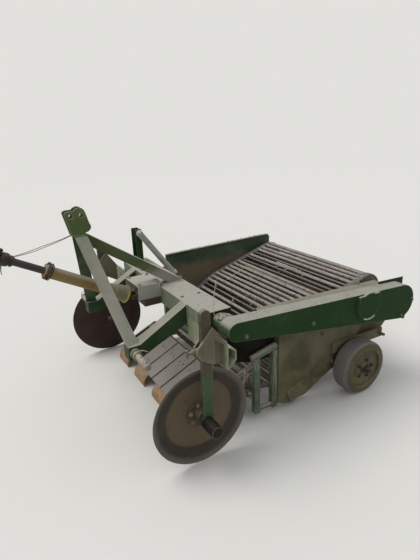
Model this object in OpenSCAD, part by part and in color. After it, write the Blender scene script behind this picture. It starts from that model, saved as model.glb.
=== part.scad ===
// Tractor-mounted elevator potato digger: share, sieving web, disc coulters and rear wheels.
// Millimetres. +X points forward to the tractor, +Y to the left, +Z up.
// In the values below x is counted from the disc axles, y from the middle and z from the ground.

/* [Disc coulters] */
// Outer radius of a disc
disc_r = 300; // [280:5:305]
// Distance of a disc's rim outside the side plate
disc_gap = 186; // [170:2:200]
// Depth of a disc's dish
disc_dish = 44; // [30:2:54]
// Radius of a disc's flat middle
disc_flat_r = 175; // [130:5:220]
// Thickness of a disc
disc_t = 6; // [4:1:9]
// Radius of the bolted flange on a disc
hub_flange_r = 78; // [64:2:100]
// Thickness of that flange
hub_flange_t = 12; // [8:1:16]
// Outer radius of the bearing barrel
hub_r = 44; // [36:2:56]
// Radius of the fixed stub axle
disc_axle_r = 17.5; // [14:0.5:22]
// Free space between the bearing barrel and the arm
hub_gap = 6; // [5:1:10]

/* [Disc arms] */
// Width of an arm, front to back
arm_w = 60; // [50:2:80]
// Thickness of an arm
arm_t = 25; // [18:1:32]
// Height of an arm's rounded top
arm_top_z = 963; // [920:5:1020]
// Distance of an arm's middle line behind its axle
arm_back = 16; // [8:1:24]
// Radius of the axle boss outside an arm
boss_r = 34; // [26:1:42]
// Length of that boss
boss_l = 114; // [80:2:140]
// How far an arm's clamp reaches ahead of it
clamp_reach = 32; // [24:1:40]
// Thickness of a clamp plate
clamp_t = 12; // [8:1:13]
// Height of the clamp's front corner
clamp_z = 742; // [734:1:750]
// Height of the clamp's top corner
clamp_top_z = 862; // [850:1:876]

/* [Beam] */
// Height of the beam's top
beam_top_z = 820; // [800:2:840]
// Height of the box section
beam_h = 120; // [104:2:136]
// Depth of the box section, front to back
beam_depth = 195; // [180:5:215]
// Place of the beam's front face
beam_front_x = -130; // [-140:2:-120]
// Wall of the box section
beam_wall = 8; // [5:1:12]
// Height of the tubes let into the beam's lower edge that carry the disc arms
stub_h = 150; // [136:2:152]
// Depth of those tubes
stub_depth = 60; // [54:1:68]
// How far those tubes stand ahead of the beam's front
stub_proud = 3; // [1:1:5]
// How far those tubes reach up into the beam
stub_lap = 42; // [36:1:50]
// Length that shows beyond the arm's outer face
stub_past_arm = 20; // [16:1:26]
// Wall of those tubes
stub_wall = 9; // [6:1:12]

/* [Hitch] */
// Place of the lower hitch pins ahead of the disc axles
hitch_x = 225; // [205:5:245]
// Height of the lower hitch pins
hitch_z = 598; // [580:2:620]
// Distance of a lower arm's middle plane from the middle
hitch_arm_y = 420; // [400:5:440]
// Width of a lower arm
hitch_arm_w = 80; // [64:2:96]
// Height of the block at a lower arm's front
hitch_block_h = 86; // [76:2:100]
// Length of that block
hitch_block_l = 74; // [60:2:90]
// Radius of a lower hitch pin
pin_r = 18.3; // [14:0.1:20]
// Length of a lower hitch pin beyond its collar
pin_l = 188; // [150:2:220]
// Radius of the collar at the pin's root
collar_r = 30; // [26:1:36]
// Thickness of that collar
collar_t = 12; // [8:1:18]
// Radius of the cross holes for the lynch pins
lynch_r = 6; // [5:0.5:7]

/* [Mast] */
// Place of the mast's head ahead of the disc axles
mast_x = 350; // [330:5:370]
// Height where the legs meet the head
mast_foot_z = 1234; // [1200:2:1260]
// Height of the head plates
head_h = 173; // [160:1:190]
// Width of the head plates
head_w = 150; // [140:1:160]
// Thickness of one head plate
head_t = 12; // [8:1:16]
// Clear space between the head plates
head_gap = 52; // [44:1:64]
// Radius of the holes for the top link pin
link_hole_r = 13; // [10:0.5:16]
// Distance between the two holes
link_hole_pitch = 63; // [54:1:72]
// Distance of the holes below the head's top
link_hole_drop = 47; // [44:1:54]
// Width of a mast leg
leg_w = 70; // [56:2:84]
// Thickness of a mast leg
leg_t = 26; // [20:1:32]
// Width of the stay from the head back to the beam
stay_w = 64; // [52:2:76]
// Height of the stay
stay_h = 62; // [52:2:72]

/* [Gearbox] */
// Length of the gearbox housing
gear_l = 120; // [100:2:130]
// Width of the housing
gear_w = 140; // [120:2:160]
// Height of the housing
gear_h = 140; // [120:2:144]
// Width of the sheet cover over the gearbox
cover_w = 230; // [200:5:260]
// Length of the cover over the beam's front edge
cover_l = 176; // [160:2:200]
// Height of the cover's side skirts
cover_skirt = 96; // [70:2:110]
// Thickness of the cover sheet
cover_t = 3; // [2:0.5:5]

/* [Driveline] */
// Slope of the driveline, up towards the tractor
drive_tilt = 28.2; // [24:0.2:32]
// Place of the universal joint ahead of the disc axles
joint_x = 50; // [44:1:60]
// Height of the universal joint
joint_z = 770; // [762:1:778]
// Distance from the joint to the end of the yellow guard tube
guard_end = 598; // [560:2:640]
// Outer radius of the guard tube
guard_r = 37.5; // [34:0.5:42]
// Wall of the guard tube
guard_wall = 4; // [3:0.5:6]
// Radius of the guard cone's mouth
cone_r = 58; // [54:1:62]
// Length of the guard cone
cone_l = 128; // [110:2:150]
// Outer radius of the inner tube that slides
slide_r = 22; // [20:0.5:27]
// Wall of the inner tube
slide_wall = 6; // [4:0.5:9]
// Distance from the joint to the end of the inner tube
slide_end = 800; // [770:2:840]
// Length of the inner tube inside the guard
slide_inside = 300; // [240:5:340]
// Radius of the splined bore for the tractor's shaft
pto_r = 17.5; // [16:0.1:19]
// Length of that bore
pto_l = 76; // [60:2:90]
// Outer radius of the front yoke's hub
yoke_r = 30; // [27:1:36]

/* [Sieving web] */
// Half the width of the web over its belts
web_half_y = 606; // [596:1:616]
// Width of one side belt
belt_w = 50; // [40:1:60]
// Thickness of the belts
belt_t = 13; // [12:0.5:16]
// Thickness of a web bar across its corners
bar_d = 11.5; // [8:0.5:11.5]
// Wanted distance between bars
bar_pitch = 48; // [40:1:60]
// Height of the rear drive roller's axis
drive_z = 650; // [640:2:660]
// Radius of the rear drive roller
drive_r = 98; // [88:2:104]
// Radius of the shafts of all rollers
shaft_r = 17; // [14:1:22]

/* [Sides] */
// Free space between the web and a side plate
web_gap = 38; // [32:1:44]
// Thickness of the side plates
side_t = 6; // [4:1:8]
// Width of the folded lip along a side plate's top
lip_w = 22; // [12:1:30]
// Width of the lower side casings
casing_w = 52; // [44:1:60]
// Sheet of the casings and the chain guard
sheet_t = 4; // [3:0.5:6]
// Width of the upright posts ahead of a casing
post_w = 40; // [32:2:50]
// Radius of the tube over the posts
post_tube_r = 23; // [18:1:28]
// Radius of the cross tube inside the web
cross_r = 38; // [30:1:44]

/* [Chain guard] */
// Width of the chain guard
guard_w = 102; // [94:2:110]
// Space between the side plate and the chain guard
guard_gap = 94; // [86:2:102]
// Radius of the two collars that carry it
guard_collar_r = 48; // [42:1:54]
// Radius of its front end
guard_front_r = 57; // [50:1:57]
// Radius of its rear end
guard_rear_r = 125; // [110:1:135]
// Place of its rear end's centre
guard_rear_x = -1630; // [-1650:2:-1610]
// Height of its rear end's centre
guard_rear_z = 610; // [600:1:620]
// Depth of the half-oval bulge on its face
bulge_t = 20; // [10:1:30]
// Width of that bulge
bulge_w = 190; // [160:2:210]

/* [Share] */
// Slope of the share, up towards the web
share_tilt = 24.7; // [20:0.1:28]
// Height of the slats' front edge
share_front_z = 100; // [94:1:108]
// Place of the slats' front edge
share_front_x = -35; // [-45:1:-25]
// Length of a slat
slat_l = 330; // [310:2:336]
// Distance between slats
slat_pitch = 150; // [140:1:156]
// Gap between slats
slat_gap = 18; // [6:1:24]
// Number of slats
slat_count = 8; // [4:2:8]
// Thickness of a slat
slat_t = 10; // [8:1:14]
// Number of share blades
blade_count = 4; // [2:1:4]
// Distance between share blades
blade_pitch = 340; // [320:5:345]
// Width of a share blade
blade_w = 190; // [150:5:195]
// Thickness of a share blade
blade_t = 12; // [8:1:16]
// Radius of a blade's curved nose
nose_r = 75; // [70:1:80]

/* [Rear wheels] */
// Outer radius of a wheel
wheel_r = 194; // [185:1:204]
// Width of its rubber band
tyre_w = 127; // [110:1:135]
// Thickness of the rubber band
tyre_t = 46; // [36:1:56]
// Free space between a wheel and its arm
wheel_gap = 14; // [10:1:24]
// Place of the wheel axles
wheel_x = -1289; // [-1300:1:-1280]
// Radius of a wheel axle
wheel_axle_r = 16; // [12:1:20]
// Thickness of a wheel's steel disc
wheel_disc_t = 8; // [5:1:12]
// Radius of a wheel's hub
wheel_hub_r = 38; // [30:1:46]
// Thickness of a wheel arm
wheel_arm_t = 20; // [14:1:26]
// Width of a wheel arm
wheel_arm_w = 70; // [56:2:84]

/* [Adjusting strut] */
// Distance of the strut from the middle, on the right
strut_y = 520; // [500:5:525]
// Radius of the strut's tube
strut_r = 24; // [15:1:25]
// Height of the post that holds the strut's top
strut_top_z = 1085; // [1050:5:1120]
// Width of that post
strut_post_w = 90; // [76:2:104]

/* [Hidden] */
$fn = 64;
// Running clearance of a shaft in a bore, on the radius
fit = 0.05;
// Space that is left between faces of one body that only lie close
seat = 0.3;
// Extra length of a cutting tool
cut = 1;

// Colours as they look under the dust
dark_green = [0.12, 0.22, 0.14];
faded_green = [0.47, 0.55, 0.43];
dusty_grey = [0.66, 0.65, 0.60];
bare_steel = [0.50, 0.48, 0.46];
rusty_brown = [0.24, 0.19, 0.15];
share_rust = [0.70, 0.52, 0.32];
rubber_grey = [0.36, 0.36, 0.36];
wheel_olive = [0.29, 0.29, 0.20];
guard_tan = [0.46, 0.40, 0.28];
guard_black = [0.15, 0.14, 0.14];

// Beam and the tubes below it
beam_rear_x = beam_front_x - beam_depth;
beam_low_z = beam_top_z - beam_h;
stub_front_x = beam_front_x + stub_proud;
stub_top_z = beam_low_z + stub_lap;
stub_low_z = stub_top_z - stub_h;
stub_in_y = hitch_arm_y + hitch_arm_w / 2;
stub_slope = 46;
stub_sole = 14;
stub_outline = [
    [stub_front_x, stub_top_z],
    [stub_front_x - stub_depth, stub_top_z - stub_slope],
    [stub_front_x - stub_depth, stub_low_z + stub_slope],
    [stub_front_x - stub_sole, stub_low_z],
    [stub_front_x, stub_low_z],
];
side_in_y = web_half_y + web_gap;
side_y = side_in_y + side_t;

// Discs: each piece sits outside the one before it
disc_rim_y = side_y + disc_gap;
disc_flat_y = disc_rim_y - disc_dish;
flange_y = disc_flat_y + disc_t;
arm_in_y = disc_rim_y + 32;
arm_out_y = arm_in_y + arm_t;
hub_end_y = arm_in_y - hub_gap;
stub_out_y = arm_out_y + stub_past_arm;
arm_x = -arm_back;

// Driveline
function along_drive(s) = [joint_x + s * cos(drive_tilt), joint_z + s * sin(drive_tilt)];
yoke_cross = slide_end + 62;
yoke_end = yoke_cross + 34 + pto_l;
front_x = along_drive(yoke_end)[0] + yoke_r * sin(drive_tilt);

// The whole machine is shifted so that its length is centred on the origin
rear_x = guard_rear_x - guard_rear_r;
mid_x = (front_x + rear_x) / 2;

// Rollers inside the web, in the order in which the web turns around them: [x, z, radius]
rollers = [
    [-490, 237, 60],
    [-950, 520, 45],
    [-1560, drive_z, drive_r],
    [-960, 150, 45],
];
roller_count = len(rollers);

// Angle of the outward normal of the belt's straight run from one circle to the next
function run_normal(a, b) =
    atan2(b[1] - a[1], b[0] - a[0]) - acos((a[2] - b[2]) / norm([b[0] - a[0], b[1] - a[1]]));
function on_circle(c, angle, grow) = [c[0] + (c[2] + grow) * cos(angle), c[1] + (c[2] + grow) * sin(angle)];
function next_of(list, i) = list[(i + 1) % len(list)];
function last_of(list, i) = list[(i + len(list) - 1) % len(list)];

function turn(from, to) = (to - from) - 360 * floor((to - from) / 360);

// Outline of a belt that is stretched around circles, with a corner every few degrees of each arc
arc_step = 6;
module belt_outline(circles, grow) polygon([for (i = [0 : len(circles) - 1])
    let (start = run_normal(last_of(circles, i), circles[i]),
         arc = turn(start, run_normal(circles[i], next_of(circles, i))),
         steps = ceil(arc / arc_step))
    for (k = [0 : steps]) on_circle(circles[i], start + arc * k / steps, grow)]);

// The same path cut into pieces: an arc on a roller, then a straight run. [roller, start angle, arc, run]
pieces = [for (i = [0 : roller_count - 1])
    let (roller = rollers[i],
         start = run_normal(last_of(rollers, i), roller),
         stop = run_normal(roller, next_of(rollers, i)),
         after = next_of(rollers, i),
         gap = norm([after[0] - roller[0], after[1] - roller[1]]))
    [i, start, (roller[2] + belt_t / 2) * turn(start, stop) * PI / 180,
        sqrt(gap * gap - pow(after[2] - roller[2], 2))]];
function piece_len(i) = pieces[i][2] + pieces[i][3];
function path_len(i) = i < 0 ? 0 : piece_len(i) + path_len(i - 1);
web_len = path_len(roller_count - 1);
bar_count = round(web_len / bar_pitch);

// Point and outward angle at a distance s along the belt's middle line
function web_place(s, i = 0) =
    s > piece_len(i) && i < roller_count - 1 ? web_place(s - piece_len(i), i + 1) :
    let (roller = rollers[i],
         radius = roller[2] + belt_t / 2,
         on_arc = min(s, pieces[i][2]),
         angle = pieces[i][1] + on_arc / radius * 180 / PI,
         run = max(0, s - pieces[i][2]))
    [roller[0] + radius * cos(angle) - run * sin(angle), roller[1] + radius * sin(angle) + run * cos(angle),
        angle];

// Chain guard: two round ends and the straight edges between them
guard_in_y = side_y + guard_gap;
guard_front_z = beam_top_z - 6 - guard_front_r;
guard_front_x = beam_front_x - 53 - guard_front_r;
guard_ends = [
    [guard_front_x, guard_front_z, guard_front_r],
    [guard_rear_x, guard_rear_z, guard_rear_r],
];
guard_low = run_normal(guard_ends[1], guard_ends[0]);
function guard_low_z(x) =
    let (p = on_circle(guard_ends[0], guard_low, 0)) p[1] - (x - p[0]) / tan(guard_low);

// Side plates, posts and casings
post_front_x = rollers[0][0];
casing_front_x = -650;
post_rear_x = casing_front_x + post_w / 2;
post_low_z = 34;
neck_z = 400;
casing_out_y = side_y + casing_w;

// Front and rear end of a side plate's straight top edge, which is lower on the left: [x, z]
function side_edge(side) = side > 0 ? [[-500, 767], [-1567, 731]] : [[-500, 817], [-1567, 837]];

// Outline of a side plate from the beam round to its top edge
function side_outline(edge) = [
    [beam_front_x, beam_top_z],
    [beam_front_x, beam_low_z],
    [beam_front_x - 144, beam_low_z],
    [-330, 450],
    [post_front_x, neck_z],
    [casing_front_x, neck_z],
    [-1300, 470],
    [-1500, drive_z - 110],
    [-1600, drive_z - 50],
    edge[1] - [33, 25],
    edge[1],
    edge[0],
    [-500, 712],
    [beam_rear_x, beam_low_z],
    [beam_rear_x, beam_top_z],
];

// Outline of a lower casing; its top edge lies just below the chain guard
casing_outline = [
    [casing_front_x, guard_low_z(casing_front_x) - 2],
    [casing_front_x, 60],
    [-740, 30],
    [-890, 50],
    [-1020, 120],
    [-1140, 170],
    [-1290, 300],
    [-1400, 420],
    [-1400, guard_low_z(-1400) - 2],
];

// Share: a point given along and across its slope. u runs forward, w runs up from the slats' top
function on_share(u, w) = [
    share_front_x + u * cos(share_tilt) + w * sin(share_tilt),
    share_front_z - u * sin(share_tilt) + w * cos(share_tilt)];
bearer_w = 46;
bearer_h = 40;
tongue_l = 84;
bearer_at = [-tongue_l - bearer_w, -slat_l + 10];
share_side_t = 12;

// Wheels
wheel_in_y = casing_out_y + wheel_arm_t + wheel_gap;
wheel_out_y = wheel_in_y + tyre_w;
rim_r = wheel_r - tyre_t;
wheel_bar_z = 335;
wheel_bar_l = 500;
wheel_bar_rear_x = wheel_x - 321;
wheel_leg_w = 80;
arm_bolt_x = wheel_bar_rear_x + 30;
arm_bolt_l = 46;

// Strut ends: [x, z]
strut_top = [-240, strut_top_z - 26];
strut_gap = 5;
strut_low = [-540, 640];

// Shift to the origin, and the mirror image on the right
module placed() translate([-mid_x, 0, 0]) children();
module sided(side) {
    if (side > 0) children();
    else mirror([0, 1, 0]) children();
}

// Turns an outline drawn in x and z into a plate between two distances from the middle
module plate_y(y_from, y_to)
    translate([0, y_to, 0]) rotate([90, 0, 0]) linear_extrude(y_to - y_from) children();

// A round bar across the machine
module rod_y(x, z, r, y_from, y_to)
    translate([x, y_from, z]) rotate([-90, 0, 0]) cylinder(r = r, h = y_to - y_from);

// A straight bar from a to b: wide is its size level with the ground, deep its other one
module bar(a, b, wide, deep) {
    d = b - a;
    translate(a) rotate([0, acos(d[2] / norm(d)), atan2(d[1], d[0])])
        translate([-deep / 2, -wide / 2, 0]) cube([deep, wide, norm(d)]);
}

// A round bar from a to b
module rod(a, b, r) {
    d = b - a;
    translate(a) rotate([0, acos(d[2] / norm(d)), atan2(d[1], d[0])]) cylinder(r = r, h = norm(d));
}

// The main box beam between the side plates, open at its ends and notched for the two tubes
module main_beam() color(dusty_grey) placed() difference() {
    translate([beam_rear_x, -side_in_y, beam_low_z]) cube([beam_depth, 2 * side_in_y, beam_h]);
    translate([beam_rear_x + beam_wall, -side_in_y - cut, beam_low_z + beam_wall])
        cube([beam_depth - 2 * beam_wall, 2 * (side_in_y + cut), beam_h - 2 * beam_wall]);
    for (side = [-1, 1]) sided(side) plate_y(stub_in_y, side_in_y + cut) polygon(stub_outline);
}

// The open five-sided tube that carries a disc arm
module stub_tube(side) color(faded_green) placed() sided(side) difference() {
    plate_y(stub_in_y, stub_out_y) polygon(stub_outline);
    plate_y(stub_in_y - cut, stub_out_y + cut) offset(delta = -stub_wall) polygon(stub_outline);
}

// The mast: two legs, a head of two plates and a stay back to the beam
hitch_block_top = hitch_z + hitch_block_h / 2;
module mast_leg(side) color(dusty_grey) placed() sided(side) intersection() {
    top = [mast_x - 5, head_gap / 2 + head_t, mast_foot_z];
    foot = [hitch_x, hitch_arm_y, hitch_block_top];
    reach = (top - foot) * 0.1;
    bar(foot - reach, top + reach, leg_w, leg_t);
    translate([0, 0, hitch_block_top])
        cube([mast_x + head_w, hitch_arm_y + leg_w, mast_foot_z - hitch_block_top]);
}

// Outline of a head plate from its front foot round to its rear foot, as shares of its width and height
link_hole_ahead = 7;
head_corners = [
    [0.28, 0],
    [0.50, 0.81],
    [0.47, 0.87],
    [0.38, 0.90],
    [0.13, 0.90],
    [0.05, 0.965],
    [-0.09, 1],
    [-0.22, 0.97],
    [-0.29, 0.90],
    [-0.34, 0.78],
    [-0.43, 0.46],
    [-0.50, 0.31],
    [-0.46, 0.21],
    [-0.36, 0.14],
    [-0.21, 0.11],
    [-0.21, 0],
];
head_front_x = mast_x + head_corners[0][0] * head_w;
head_rear_x = mast_x + head_corners[len(head_corners) - 1][0] * head_w;
module mast_head() color(dark_green) placed() {
    outer_y = head_gap / 2 + head_t;
    for (y = [-outer_y, head_gap / 2])
        translate([mast_x, 0, mast_foot_z]) plate_y(y, y + head_t) difference() {
            polygon([for (corner = head_corners) [corner[0] * head_w, corner[1] * head_h]]);
            for (dx = [-link_hole_pitch / 2, link_hole_pitch / 2])
                translate([link_hole_ahead + dx, head_h - link_hole_drop]) circle(link_hole_r);
        }
    translate([head_rear_x, -head_gap / 2, mast_foot_z]) cube([head_front_x - head_rear_x, head_gap, head_t]);
}

// The stay lies against the back and the underside of the head and stands on the beam's top
stay_step = 19;
module mast_stay() color(dark_green) placed() plate_y(-stay_w / 2, stay_w / 2) {
    front_x = mast_x - leg_w / 2 - 7;
    slope = (mast_foot_z + stay_step - beam_top_z) / (head_rear_x - beam_rear_x);
    foot_l = stay_h * sqrt(1 + slope * slope) / slope;
    polygon([
        [beam_rear_x, beam_top_z],
        [beam_rear_x + foot_l, beam_top_z],
        [front_x, beam_top_z + (front_x - beam_rear_x - foot_l) * slope],
        [front_x, mast_foot_z],
        [head_rear_x, mast_foot_z],
        [head_rear_x, mast_foot_z + stay_step],
    ]);
}

// Tapered lower arm from the beam's front face to the hitch block
module lower_arm(side) color(dark_green) placed() sided(side)
    plate_y(hitch_arm_y - hitch_arm_w / 2, hitch_arm_y + hitch_arm_w / 2) {
        block_rear = hitch_x - hitch_block_l / 2;
        block_low = hitch_z - hitch_block_h / 2;
        polygon([
            [beam_front_x, beam_low_z],
            [beam_front_x, beam_top_z],
            [block_rear, hitch_block_top],
            [block_rear + hitch_block_l, hitch_block_top],
            [block_rear + hitch_block_l, block_low],
            [block_rear, block_low],
        ]);
    }

// Lower hitch pin with its collar and two cross holes
module hitch_pin(side) color(bare_steel) placed() sided(side) difference() {
    root = hitch_arm_y + hitch_arm_w / 2;
    union() {
        rod_y(hitch_x, hitch_z, collar_r, root, root + collar_t);
        rod_y(hitch_x, hitch_z, pin_r, root + collar_t, root + collar_t + pin_l);
    }
    for (from_end = [28, 102])
        translate([hitch_x, root + collar_t + pin_l - from_end, hitch_z - pin_r - cut])
            cylinder(r = lynch_r, h = 2 * (pin_r + cut));
}

// Gearbox with the input shaft and the half of the universal joint that is fixed to it
fork_in = 26;
fork_t = 10;
fork_out = fork_in + fork_t;
fork_root = 34;
fork_half = 14;
joint_pin_r = 8;
module gearbox() color(rusty_brown) placed() {
    shoulder_x = beam_front_x + gear_l;
    root_x = joint_x - fork_root;
    translate([beam_front_x, -gear_w / 2, joint_z - gear_h / 2]) cube([gear_l, gear_w, gear_h]);
    translate([shoulder_x, 0, joint_z]) rotate([0, 90, 0]) cylinder(r = 42, h = 12);
    translate([shoulder_x, 0, joint_z]) rotate([0, 90, 0]) cylinder(r = 20, h = root_x - shoulder_x);
    difference() {
        translate([root_x - fork_t, -fork_out, joint_z - fork_half])
            cube([fork_t + fork_root + fork_half, 2 * fork_out, 2 * fork_half]);
        translate([root_x, -fork_in, joint_z - fork_half - cut])
            cube([2 * fork_root, 2 * fork_in, 2 * (fork_half + cut)]);
        rod_y(joint_x, joint_z, joint_pin_r + fit, -fork_out - cut, fork_out + cut);
    }
}

// Folded sheet over the gearbox and the joint: a top, a flange on the beam and a skirt on each side
module gearbox_cover() color(dusty_grey) placed() {
    cover_y = gear_w / 2 + 2 + cover_t - cover_w;
    rear = beam_front_x - 14;
    top = joint_z + gear_h / 2 + 10;
    translate([rear, cover_y, top - cover_t]) cube([cover_l, cover_w, cover_t]);
    translate([rear, cover_y, beam_top_z]) cube([cover_t, cover_w, top - beam_top_z]);
    for (y = [cover_y, cover_y + cover_w - cover_t])
        translate([beam_front_x, y, top - cover_skirt])
            cube([rear + cover_l - beam_front_x, cover_t, cover_skirt]);
}

// Left chain guard: a flat case on two collars, with a bulge on its face, a corner plate behind its rear end
// and a hole for the shaft
module chain_guard() color(dark_green) placed() difference() {
    out_y = guard_in_y + guard_w;
    union() {
        plate_y(guard_in_y, out_y) belt_outline(guard_ends, 0);
        plate_y(guard_in_y, guard_in_y + sheet_t)
            polygon([[-1490, 700], [-1490, 762], [-1750, 750], [-1750, 690], [-1700, 660]]);
        rod_y(guard_front_x, guard_front_z, guard_collar_r, side_y, guard_in_y);
        rod_y(rollers[2][0], drive_z, guard_collar_r, side_y, guard_in_y);
        plate_y(out_y, out_y + bulge_t) {
            low = guard_low_z(-1275) + 34 + bulge_w / 2;
            translate([-1275, low]) circle(bulge_w / 2);
            translate([-1275 - bulge_w / 2, low]) square([bulge_w, 82]);
        }
    }
    plate_y(guard_in_y + sheet_t, out_y - sheet_t) belt_outline(guard_ends, -sheet_t);
    rod_y(rollers[2][0], drive_z, shaft_r + 12, side_y - cut, guard_in_y + sheet_t + cut);
}

// Side plate with a notch for the tube. Its top is folded inward on the right, and outward on the left to
// hold the chain guard
module side_plate(side) color(dark_green) placed() sided(side) {
    edge = side_edge(side);
    below = [0, side_t];
    plate_y(side_in_y, side_y) difference() {
        polygon(side_outline(edge));
        polygon(stub_outline);
    }
    plate_y(side > 0 ? side_y : side_in_y - lip_w, side > 0 ? guard_in_y : side_in_y)
        polygon([edge[0], edge[1], edge[1] - below, edge[0] - below]);
}

// Lower casing beside the web's return run: a tray that is open towards the side plate
module side_casing(side) color(wheel_olive) placed() sided(side) difference() {
    plate_y(side_y, casing_out_y) polygon(casing_outline);
    plate_y(side_y - cut, casing_out_y - sheet_t) offset(delta = -sheet_t) polygon(casing_outline);
}

// Posts and tubes that join the side plate, the share and the front roller
module side_frame(side) color(dark_green) placed() sided(side) {
    mid_y = side_y + post_w / 2;
    tube_y = side_y + post_tube_r;
    for (x = [post_front_x, post_rear_x])
        translate([x - post_w / 2, side_y, post_low_z]) cube([post_w, post_w, neck_z + 60 - post_low_z]);
    rod([post_front_x, mid_y, post_low_z + 20], [post_rear_x, mid_y, post_low_z + 20], 16);
    rod([post_front_x + 40, tube_y, neck_z + 42], [casing_front_x + 6, tube_y, neck_z + 88], post_tube_r);
}

// Tube that ties the side plates together inside the web
cross_x = -1290;
cross_z = 560;
module cross_tube() color(dark_green) placed() difference() {
    rod_y(cross_x, cross_z, cross_r, -side_in_y, side_in_y);
    rod_y(cross_x, cross_z, cross_r - 5, -side_in_y - cut, side_in_y + cut);
}

// The web: two belts and the bars between them, one fixed loop
module web() color(bare_steel) placed() {
    belt_in_y = web_half_y - belt_w;
    for (y = [-web_half_y, belt_in_y]) plate_y(y, y + belt_w) difference() {
        belt_outline(rollers, belt_t);
        belt_outline(rollers, 0);
    }
    for (i = [0 : bar_count - 1]) {
        at = web_place((i + 0.5) * web_len / bar_count);
        translate([at[0], -belt_in_y - 5, at[1]]) rotate([0, -at[2], 0]) rotate([-90, 0, 0])
            cylinder(d = bar_d, h = 2 * (belt_in_y + 5), $fn = 8);
    }
}

// A shaft across the machine with a wheel under each belt
module roller(x, z, r, shaft_half) {
    rod_y(x, z, shaft_r, -shaft_half, shaft_half);
    for (y = [-web_half_y, web_half_y - belt_w]) rod_y(x, z, r - seat, y, y + belt_w);
}
module drive_roller() color(bare_steel) placed()
    roller(rollers[2][0], drive_z, drive_r, side_in_y);
module idle_rollers() color(bare_steel) placed() {
    roller(rollers[0][0], rollers[0][1], rollers[0][2], side_y);
    roller(rollers[1][0], rollers[1][1], rollers[1][2], side_in_y);
    roller(rollers[3][0], rollers[3][1], rollers[3][2], casing_out_y - sheet_t);
}

// Share slats, side by side
module share_slats() color(bare_steel) placed()
    translate([share_front_x, 0, share_front_z]) rotate([0, share_tilt, 0])
        for (i = [0 : slat_count - 1])
            translate([-slat_l, (i - slat_count / 2) * slat_pitch + slat_gap / 2, -slat_t])
                cube([slat_l, slat_pitch - slat_gap, slat_t]);

// Cross bearers under the slats, side bars to the posts and a rod behind the slats
share_side_y = side_y - share_side_t;
module share_carrier() color(rusty_brown) placed() {
    translate([share_front_x, 0, share_front_z]) rotate([0, share_tilt, 0])
        for (u = bearer_at)
            translate([u, -share_side_y, -slat_t - bearer_h]) cube([bearer_w, 2 * share_side_y, bearer_h]);
    rod = on_share(-slat_l - 12, -22);
    rod_y(rod[0], rod[1], 7, -share_side_y, share_side_y);
    for (side = [-1, 1]) sided(side) plate_y(share_side_y, side_y) polygon([
        on_share(-20, -slat_t),
        on_share(-slat_l - 10, -slat_t),
        [post_front_x + 12, 196],
        [post_front_x - 14, 196],
        [post_front_x - 14, 140],
        [post_front_x + 12, 140],
        on_share(-slat_l - 10, -62),
        on_share(-20, -50),
    ]);
}

// Share blades: a tongue under the slats and a nose that curves down and is cut level with the ground
module blade_outline() translate([0, -slat_t]) {
    translate([-tongue_l, -blade_t]) square([tongue_l, blade_t]);
    translate([0, -nose_r]) intersection() {
        difference() {
            circle(nose_r);
            circle(nose_r - blade_t);
        }
        translate([0, -nose_r]) square([nose_r, 2 * nose_r]);
    }
}
module share_blades() color(share_rust) placed() intersection() {
    translate([share_front_x, 0, share_front_z]) rotate([0, share_tilt, 0])
        for (i = [0 : blade_count - 1]) {
            y = (i - (blade_count - 1) / 2) * blade_pitch;
            plate_y(y - blade_w / 2, y + blade_w / 2) blade_outline();
        }
    translate([-2 * slat_l, -side_y, 0]) cube([4 * slat_l, 2 * side_y, beam_top_z]);
}

// Channel post on the beam, open to the front, beside the strut that it holds
module strut_post() color(dark_green) placed() {
    flange = 6;
    depth = 52;
    rear = strut_top[0] - depth / 2;
    in_y = -strut_y - strut_r - strut_gap;
    height = strut_top_z - beam_top_z;
    translate([rear, in_y - strut_post_w, beam_top_z]) cube([flange, strut_post_w, height]);
    for (y = [in_y - strut_post_w, in_y - flange])
        translate([rear, y, beam_top_z]) cube([depth, flange, height]);
}

// Strut between the post and a boss on the right side plate
module strut() color(dusty_grey) placed() {
    rod([strut_top[0], -strut_y, strut_top[1]], [strut_low[0], -strut_y, strut_low[1]], strut_r);
    rod_y(strut_top[0], strut_top[1], 15, -strut_y - strut_r - strut_gap, -strut_y + strut_r + 8);
    rod_y(strut_low[0], strut_low[1], 26, -side_in_y, -strut_y + 34);
}

// Disc arm with its axle boss and the fixed axle
module disc_arm(side) color(rusty_brown) placed() sided(side) {
    low_z = disc_r - 46;
    translate([arm_x - arm_w / 2, arm_in_y, low_z]) cube([arm_w, arm_t, arm_top_z - arm_w / 2 - low_z]);
    rod_y(arm_x, arm_top_z - arm_w / 2, arm_w / 2, arm_in_y, arm_out_y);
    rod_y(0, disc_r, boss_r, arm_out_y, arm_out_y + boss_l);
    rod_y(0, disc_r, disc_axle_r, disc_flat_y - 26, arm_out_y);
}

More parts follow.
